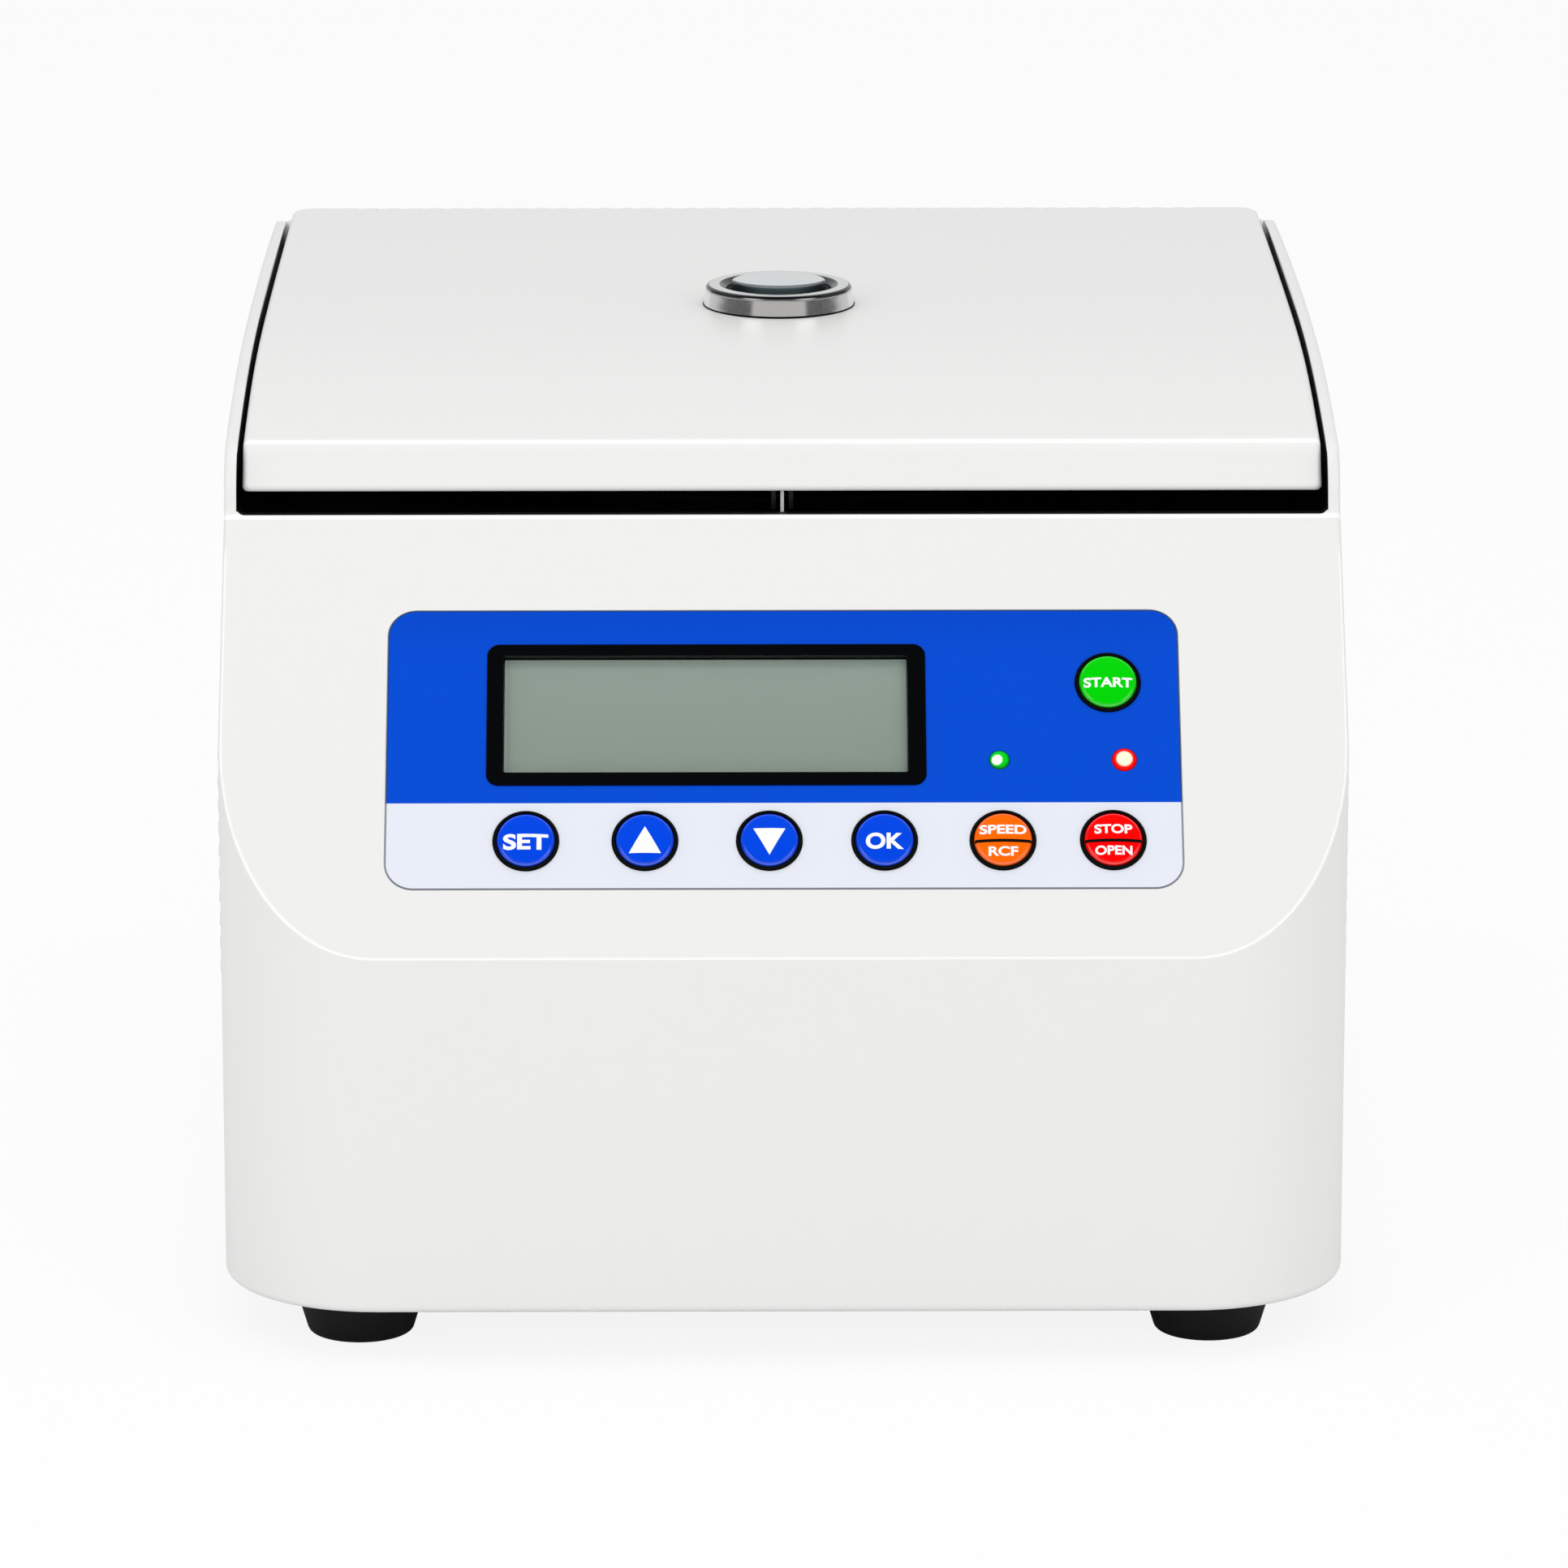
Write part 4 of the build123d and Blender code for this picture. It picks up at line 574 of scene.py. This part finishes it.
def key_height(reach):
    """Height of a key's surface at a distance from its middle, in millimetres."""
    rise = KEY_TOP - KEY_SHOULDER
    dome = (KEY_FLAT**2 + rise**2) / (2 * rise)
    if reach <= KEY_FLAT:
        return KEY_TOP - dome + math.sqrt(dome**2 - reach**2)
    lean_in = math.asin(KEY_FLAT / dome)
    run, drop = KEY_R - KEY_FLAT, KEY_SHOULDER - KEY_EDGE
    turn = (run**2 + drop**2) / (2 * (drop * math.cos(lean_in) - run * math.sin(lean_in)))
    middle = KEY_FLAT - turn * math.sin(lean_in)
    level = KEY_SHOULDER - turn * math.cos(lean_in)
    return level + math.sqrt(max(turn**2 - (min(reach, KEY_R) - middle) ** 2, 0))


def flat_text(text, weight):
    """A line of text as a thin solid, one unit high and centred."""
    curve = bpy.data.curves.new("lettering", "FONT")
    curve.body = text
    curve.offset = weight
    curve.extrude = 0.5
    holder = bpy.data.objects.new("lettering", curve)
    bpy.context.scene.collection.objects.link(holder)
    work = bmesh.new()
    mesh = bpy.data.meshes.new_from_object(holder)
    work.from_mesh(mesh)
    bpy.data.objects.remove(holder)
    bpy.data.curves.remove(curve)
    bpy.data.meshes.remove(mesh)
    low = [min(v.co[i] for v in work.verts) for i in range(2)]
    high = [max(v.co[i] for v in work.verts) for i in range(2)]
    for vert in work.verts:
        for i in range(2):
            vert.co[i] = (vert.co[i] - (low[i] + high[i]) / 2) / (high[i] - low[i])
    return work


def flat_shape(points):
    """A closed outline as a thin solid."""
    work = bmesh.new()
    face = work.faces.new([work.verts.new((x, y, -0.5)) for x, y in points])
    grown = bmesh.ops.extrude_face_region(work, geom=[face])
    for item in grown["geom"]:
        if isinstance(item, bmesh.types.BMVert):
            item.co.z = 0.5
    return work


def finish_piece(name, work, finish, body):
    """Makes a piece of a bmesh, with its finish, riding on a body."""
    bmesh.ops.remove_doubles(work, verts=work.verts, dist=1e-7)
    bmesh.ops.recalc_face_normals(work, faces=work.faces)
    mesh = bpy.data.meshes.new(name)
    work.to_mesh(mesh)
    work.free()
    mesh.materials.append(finish.material)
    item = bpy.data.objects.new(name, mesh)
    bpy.context.scene.collection.objects.link(item)
    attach(item, body)
    return item


def on_key(name, work, size, shift, key, finish):
    """Lays a thin solid over a key's dome. Sizes and shifts in millimetres."""
    for vert in work.verts:
        vert.co.x = vert.co.x * size[0] + shift[0]
        vert.co.y = vert.co.y * size[1] + shift[1]
    for axis in range(2):
        for step in range(-CUTS_EACH_WAY, CUTS_EACH_WAY + 1):
            plane = [0.0, 0.0, 0.0]
            plane[axis] = 1.0
            bmesh.ops.bisect_plane(
                work,
                geom=work.verts[:] + work.edges[:] + work.faces[:],
                dist=1e-5,
                plane_co=[step * CUT * value for value in plane],
                plane_no=plane,
            )
    place_x, place_up = KEY_PLACES[key]
    for vert in work.verts:
        out = key_height(math.hypot(vert.co.x, vert.co.y)) + vert.co.z * INK
        vert.co = console @ Vector(
            ((place_x + vert.co.x) * MM, (place_up + vert.co.y) * MM, out * MM)
        )
    return finish_piece(name, work, finish, key + "_button")


# Function words, each with its stroke weight, size, shift up the key, and key
HEAVY = 0.036
BOLD = 0.032
for text, weight, size, up, key in (
    ("SET", HEAVY, (11.9, 4.6), -1.0, "set"),
    ("OK", HEAVY, (10.0, 4.7), -0.9, "ok"),
    ("START", BOLD, (13.0, 2.9), -0.8, "start"),
    ("SPEED", BOLD, (12.4, 2.8), 2.4, "speed"),
    ("RCF", BOLD, (7.8, 2.7), -3.9, "speed"),
    ("STOP", BOLD, (10.0, 2.8), 2.5, "stop"),
    ("OPEN", BOLD, (9.8, 2.6), -3.7, "stop"),
):
    name = "legend_" + text.lower()
    on_key(name, flat_text(text, weight), size, (0, up), key, legend_white)
TRIANGLE = [(-0.5, -0.5), (0.5, -0.5), (0.0, 0.5)]
ARROW_SIZE = (8.5, 7.7)
for key, turn, up in (("up", 1, -0.4), ("down", -1, -1.0)):
    arrow = flat_shape([(x, y * turn) for x, y in TRIANGLE])
    on_key("arrow_" + key, arrow, ARROW_SIZE, (0, up), key, legend_white)
BAR = [(-0.5, -0.5), (0.5, -0.5), (0.5, 0.5), (-0.5, 0.5)]
DIVIDER_SIZE = (15.0, 0.85)
for key in ("speed", "stop"):
    on_key("divider_" + key, flat_shape(BAR), DIVIDER_SIZE, (0, -0.9), key, black_ink_and_shade)


# Small marks: black crosses of painted shade for the screws' recesses, the rocker's signs and
# the rotor's numbers


def place_flat(name, work, size, across, up, middle, finish, body):
    """Lays a thin solid on a flat face. Across and up are unit vectors, sizes in millimetres."""
    across, up, middle = Vector(across), Vector(up), Vector(middle)
    out = across.cross(up)
    for vert in work.verts:
        spot = across * vert.co.x * size[0] + up * vert.co.y * size[1]
        vert.co = (middle + spot + out * vert.co.z * INK) * MM
    return finish_piece(name, work, finish, body)


# A screw's cross, black as painted shade for its recess: half of its outline, then the same half
# turned round
CROSS = [(1, 6), (-1, 6), (-1, 1), (-6, 1), (-6, -1), (-1, -1)]
CROSS = [(x / 12, y / 12) for x, y in CROSS + [(-x, -y) for x, y in CROSS]]
CROSS_SIZE = 3.4
FAN_CROSS_SIZE = CROSS_SIZE * 1.3
BACK_X = (-1, 0, 0)
UP_Z = (0, 0, 1)

# Rear screws in millimetres: the panel's, the fan's and the inlet's
PANEL_SCREW_Y = 194.6
PANEL_SCREW_X = 120.7
PANEL_SCREW_ROWS = (29.3, 194.7)
PANEL_SCREW_MIDDLE = 112.0
FAN_SCREW_Y = 195.0
FAN_PLACE = (60, 76)
FAN_SCREW_OUT = 35.75
INLET_SCREWS = ((-106, 58), (-66, 58))
panel_screws = [(x, z) for x in (-PANEL_SCREW_X, 0, PANEL_SCREW_X) for z in PANEL_SCREW_ROWS]
panel_screws += [(x, PANEL_SCREW_MIDDLE) for x in (-PANEL_SCREW_X, PANEL_SCREW_X)]
fan_screws = [
    (FAN_PLACE[0] + i * FAN_SCREW_OUT, FAN_PLACE[1] + j * FAN_SCREW_OUT)
    for i in (-1, 1)
    for j in (-1, 1)
]
screws = [((x, PANEL_SCREW_Y, z), CROSS_SIZE) for x, z in panel_screws]
screws += [((x, FAN_SCREW_Y, z), FAN_CROSS_SIZE) for x, z in fan_screws]
screws += [((x, FAN_SCREW_Y, z), CROSS_SIZE) for x, z in INLET_SCREWS]
# Painted shade: a black cross on each rear screw
for count, (middle, size) in enumerate(screws):
    name = f"rear_screw_recess_shade_{count + 1}"
    cross = flat_shape(CROSS)
    place_flat(name, cross, (size, size), BACK_X, UP_Z, middle, black_ink_and_shade, "chassis")

LID_SCREW_X = 128
LID_SCREW_YS = (-91, 40, 167)
LID_SCREW_UNDER = 216.0
lid_screws = [(x, y) for x in (-LID_SCREW_X, LID_SCREW_X) for y in LID_SCREW_YS]
# Painted shade: a black cross on each lid screw
for count, (x, y) in enumerate(lid_screws):
    place_flat(
        f"lid_screw_recess_shade_{count + 1}",
        flat_shape(CROSS),
        (CROSS_SIZE, CROSS_SIZE),
        (1, 0, 0),
        (0, -1, 0),
        (x, y, LID_SCREW_UNDER),
        black_ink_and_shade,
        "lid",
    )

ROCKER_PIVOT = Vector((-86, 190, 104))
ROCKER_TILT = math.radians(8.0)
ROCKER_OUT = (0, math.cos(ROCKER_TILT), math.sin(ROCKER_TILT))
ROCKER_UP = (0, -math.sin(ROCKER_TILT), math.cos(ROCKER_TILT))
ROCKER_FACE = 2.93
SIGN_HEIGHT = 5.0
SIGN_BAR = (0.9, 4.4)
SIGN_RING = (4.2, 4.2)
SIGN_RING_HOLE = 0.34
FACE_RISE = 0.8
FACE_RUN = 9.3


def rocker_spot(up):
    """Middle of a sign on the rocker, this far above its pivot."""
    return ROCKER_PIVOT + Vector(ROCKER_OUT) * ROCKER_FACE + Vector(ROCKER_UP) * up


def ring_shape(outer, inner, count=40):
    """A flat ring as a thin solid, spun from its section."""
    work = bmesh.new()
    corners = ((outer, -0.5), (outer, 0.5), (inner, 0.5), (inner, -0.5))
    verts = [work.verts.new((radius, 0, z)) for radius, z in corners]
    edges = [work.edges.new((verts[i - 1], verts[i])) for i in range(4)]
    bmesh.ops.spin(
        work,
        geom=verts + edges,
        cent=(0, 0, 0),
        axis=(0, 0, 1),
        angle=2 * math.pi,
        steps=count,
        use_merge=True,
    )
    return work


# The rocker's two faces each rise from its middle to their ends
face_tilt = math.atan2(FACE_RISE, FACE_RUN)
for name, work, size, up, turn in (
    ("rocker_sign_on", flat_shape(BAR), SIGN_BAR, SIGN_HEIGHT, face_tilt),
    ("rocker_sign_off", ring_shape(0.5, SIGN_RING_HOLE), SIGN_RING, -SIGN_HEIGHT, -face_tilt),
):
    lean_up = ROCKER_TILT - turn
    place_flat(
        name,
        work,
        size,
        BACK_X,
        (0, -math.sin(lean_up), math.cos(lean_up)),
        rocker_spot(up),
        legend_white,
        "mains_rocker",
    )

# Hole numbers on the rotor's rim, in millimetres
HOLES = 12
NUMBER_RING = 71.0
NUMBER_SIZE = 4.2
DIGIT_WIDTH = 0.6
ONE_WIDTH = 0.35
HOLE_MOUTH_Z = 172
RIM_RUN = 15
RIM_LEAN = math.radians(35)
RIM_TOP = HOLE_MOUTH_Z + RIM_RUN * math.tan(RIM_LEAN)
for count in range(HOLES):
    turn = 2 * math.pi * count / HOLES
    outward = Vector((math.cos(turn), math.sin(turn), 0))
    round_about = Vector((math.sin(turn), -math.cos(turn), 0))
    digits = str(count + 1)
    spread = ONE_WIDTH if digits == "1" else DIGIT_WIDTH * len(digits)
    place_flat(
        f"rotor_number_{digits}",
        flat_text(digits, BOLD),
        (NUMBER_SIZE * spread, NUMBER_SIZE),
        round_about,
        outward,
        Vector((0, AXIS_Y / MM, RIM_TOP)) + outward * NUMBER_RING,
        legend_grey,
        "spindle",
    )


# Stage: pale floor, studio surroundings, soft lamps


class Surroundings(Finish):
    """World shader, with the same arithmetic on its nodes as a material."""

    def __init__(self, name):
        self.world = bpy.data.worlds.new(name)
        self.world.use_nodes = True
        self.tree = self.world.node_tree
        self.place = self.add("ShaderNodeTexCoord", {}, (), "Generated")


FILL = 0.76
ROOM_FRONT = (0.50, 0.49, 0.475)
ROOM_REAR = (0.70, 0.71, 0.71)
CARD = (0.03, 0.03, 0.035)
WING_CARD_DARK = 0.85
WINDOW = (1.5, 1.5, 1.5)
WINDOW_EDGE = (0.94, 0.99)
WINDOW_AIM = (0.62, -0.62, 0.48)

# Soft edges of the dark cards and of the room's rear, along a unit direction from the object
TOP_CARD_UP = (0.60, 0.70)
TOP_CARD_REAR = (0.10, 0.22)
WING_CARD_SIDE = (0.62, 0.72)
WING_CARD_FOOT = (-0.12, -0.04)
WING_CARD_TOP = (0.62, 0.72)
FRONT_CARD_FOOT = (0.16, 0.22)
FRONT_CARD_TOP = (0.36, 0.44)
FRONT_CARD_REAR = (-0.55, -0.35)
REAR_START = (-0.15, 0.15)


def studio_world():
    """White for the camera, even fill for matt surfaces, and dark cards for glossy ones."""
    studio = Surroundings("studio")
    across, depth, height = studio.axes()
    top_card = studio.ramp(height, *TOP_CARD_UP) * (1 - studio.ramp(depth, *TOP_CARD_REAR))
    wing_card = (
        studio.ramp(abs(across), *WING_CARD_SIDE)
        * studio.ramp(height, *WING_CARD_FOOT)
        * (1 - studio.ramp(height, *WING_CARD_TOP))
    )
    front_card = (
        studio.ramp(height, *FRONT_CARD_FOOT)
        * (1 - studio.ramp(height, *FRONT_CARD_TOP))
        * (1 - studio.ramp(depth, *FRONT_CARD_REAR))
    )
    dark = studio.larger(studio.larger(top_card, wing_card * WING_CARD_DARK), front_card)
    rear = studio.ramp(depth, *REAR_START)
    room = studio.mix(rear, ROOM_FRONT, ROOM_REAR)
    mirrored = studio.mix(dark, room, CARD)
    for side in (-1, 1):
        aim = Vector((side * WINDOW_AIM[0], *WINDOW_AIM[1:])).normalized()
        near = studio.add(
            "ShaderNodeVectorMath",
            {"operation": "DOT_PRODUCT"},
            (studio.place, tuple(aim)),
            "Value",
        )
        mirrored = studio.mix(studio.ramp(near, *WINDOW_EDGE), mirrored, WINDOW)
    light_path = studio.add("ShaderNodeLightPath", {}, ()).socket.node
    glossy = Value(studio, light_path.outputs["Is Glossy Ray"])
    direct = Value(studio, light_path.outputs["Is Camera Ray"]) + Value(
        studio, light_path.outputs["Is Transmission Ray"]
    )
    fill = studio.mix(glossy, (FILL, FILL, FILL), mirrored)
    shown = studio.mix(direct, fill, (1, 1, 1))
    background = studio.tree.nodes["Background"]
    studio.tree.links.new(shown.socket, background.inputs["Color"])
    background.inputs["Strength"].default_value = 1.0
    bpy.context.scene.world = studio.world


def soft_lamp(name, size, power, place, aim):
    """An area lamp that lights the object but doesn't show in its gloss."""
    light = bpy.data.lights.new(name, "AREA")
    light.shape = "RECTANGLE"
    light.size, light.size_y = size
    light.energy = power
    item = bpy.data.objects.new(name, light)
    bpy.context.scene.collection.objects.link(item)
    item.location = place
    item.rotation_euler = (Vector(aim) - Vector(place)).to_track_quat("-Z", "Y").to_euler()
    item.visible_glossy = False


FLOOR_GLOW = 0.88
FLOOR_HALF = 30
SOFTBOX_SIZE = (0.9, 0.7)
SOFTBOX_AIM = (0, 0, 0.12)


def stage():
    """The pale floor, the studio round it and three soft lamps."""
    work = bmesh.new()
    bmesh.ops.create_grid(work, x_segments=1, y_segments=1, size=FLOOR_HALF)
    floor_mesh = bpy.data.meshes.new("floor")
    work.to_mesh(floor_mesh)
    work.free()
    floor = bpy.data.objects.new("floor", floor_mesh)
    bpy.context.scene.collection.objects.link(floor)
    pale = Finish("pale floor", (0.9, 0.9, 0.9), Roughness=0.9)
    light_path = pale.add("ShaderNodeLightPath", {}, ()).socket.node
    seen = Value(pale, light_path.outputs["Is Camera Ray"]) + Value(
        pale, light_path.outputs["Is Transmission Ray"]
    )
    glow = pale.tree.nodes.new("ShaderNodeEmission")
    glow.inputs["Color"].default_value = (1, 1, 1, 1)
    mixed = pale.tree.nodes.new("ShaderNodeMixShader")
    pale.tree.links.new((seen * FLOOR_GLOW).socket, mixed.inputs[0])
    pale.tree.links.new(pale.shader.outputs[0], mixed.inputs[1])
    pale.tree.links.new(glow.outputs[0], mixed.inputs[2])
    pale.tree.links.new(mixed.outputs[0], pale.tree.nodes["Material Output"].inputs["Surface"])
    floor_mesh.materials.append(pale.material)
    studio_world()
    soft_lamp("strip_top", (2.2, 0.4), 8.4, (0.0, -0.1, 1.9), (0, 0, 0.15))
    soft_lamp("softbox_left", SOFTBOX_SIZE, 6.8, (-1.2, -1.75, 0.75), SOFTBOX_AIM)
    soft_lamp("softbox_right", SOFTBOX_SIZE, 5.6, (1.2, -1.75, 0.75), SOFTBOX_AIM)


stage()

# Camera, fitted to the outline in the photo: a long lens that looks 14 degrees down
CAMERA_PLACE = (-0.0164, -2.381, 0.7024)
CAMERA_DOWN = 14
CAMERA_TURN = -0.4245
LENS = 198.5
camera_data = bpy.data.cameras.new("camera")
camera_data.sensor_width = 36.0
camera_data.lens = LENS
camera_data.clip_start = 0.1
camera_data.clip_end = 60.0
camera = bpy.data.objects.new("camera", camera_data)
bpy.context.scene.collection.objects.link(camera)
camera.location = CAMERA_PLACE
camera.rotation_euler = (math.radians(90 - CAMERA_DOWN), 0, math.radians(CAMERA_TURN))
bpy.context.scene.camera = camera
bpy.context.scene.view_settings.view_transform = "Standard"
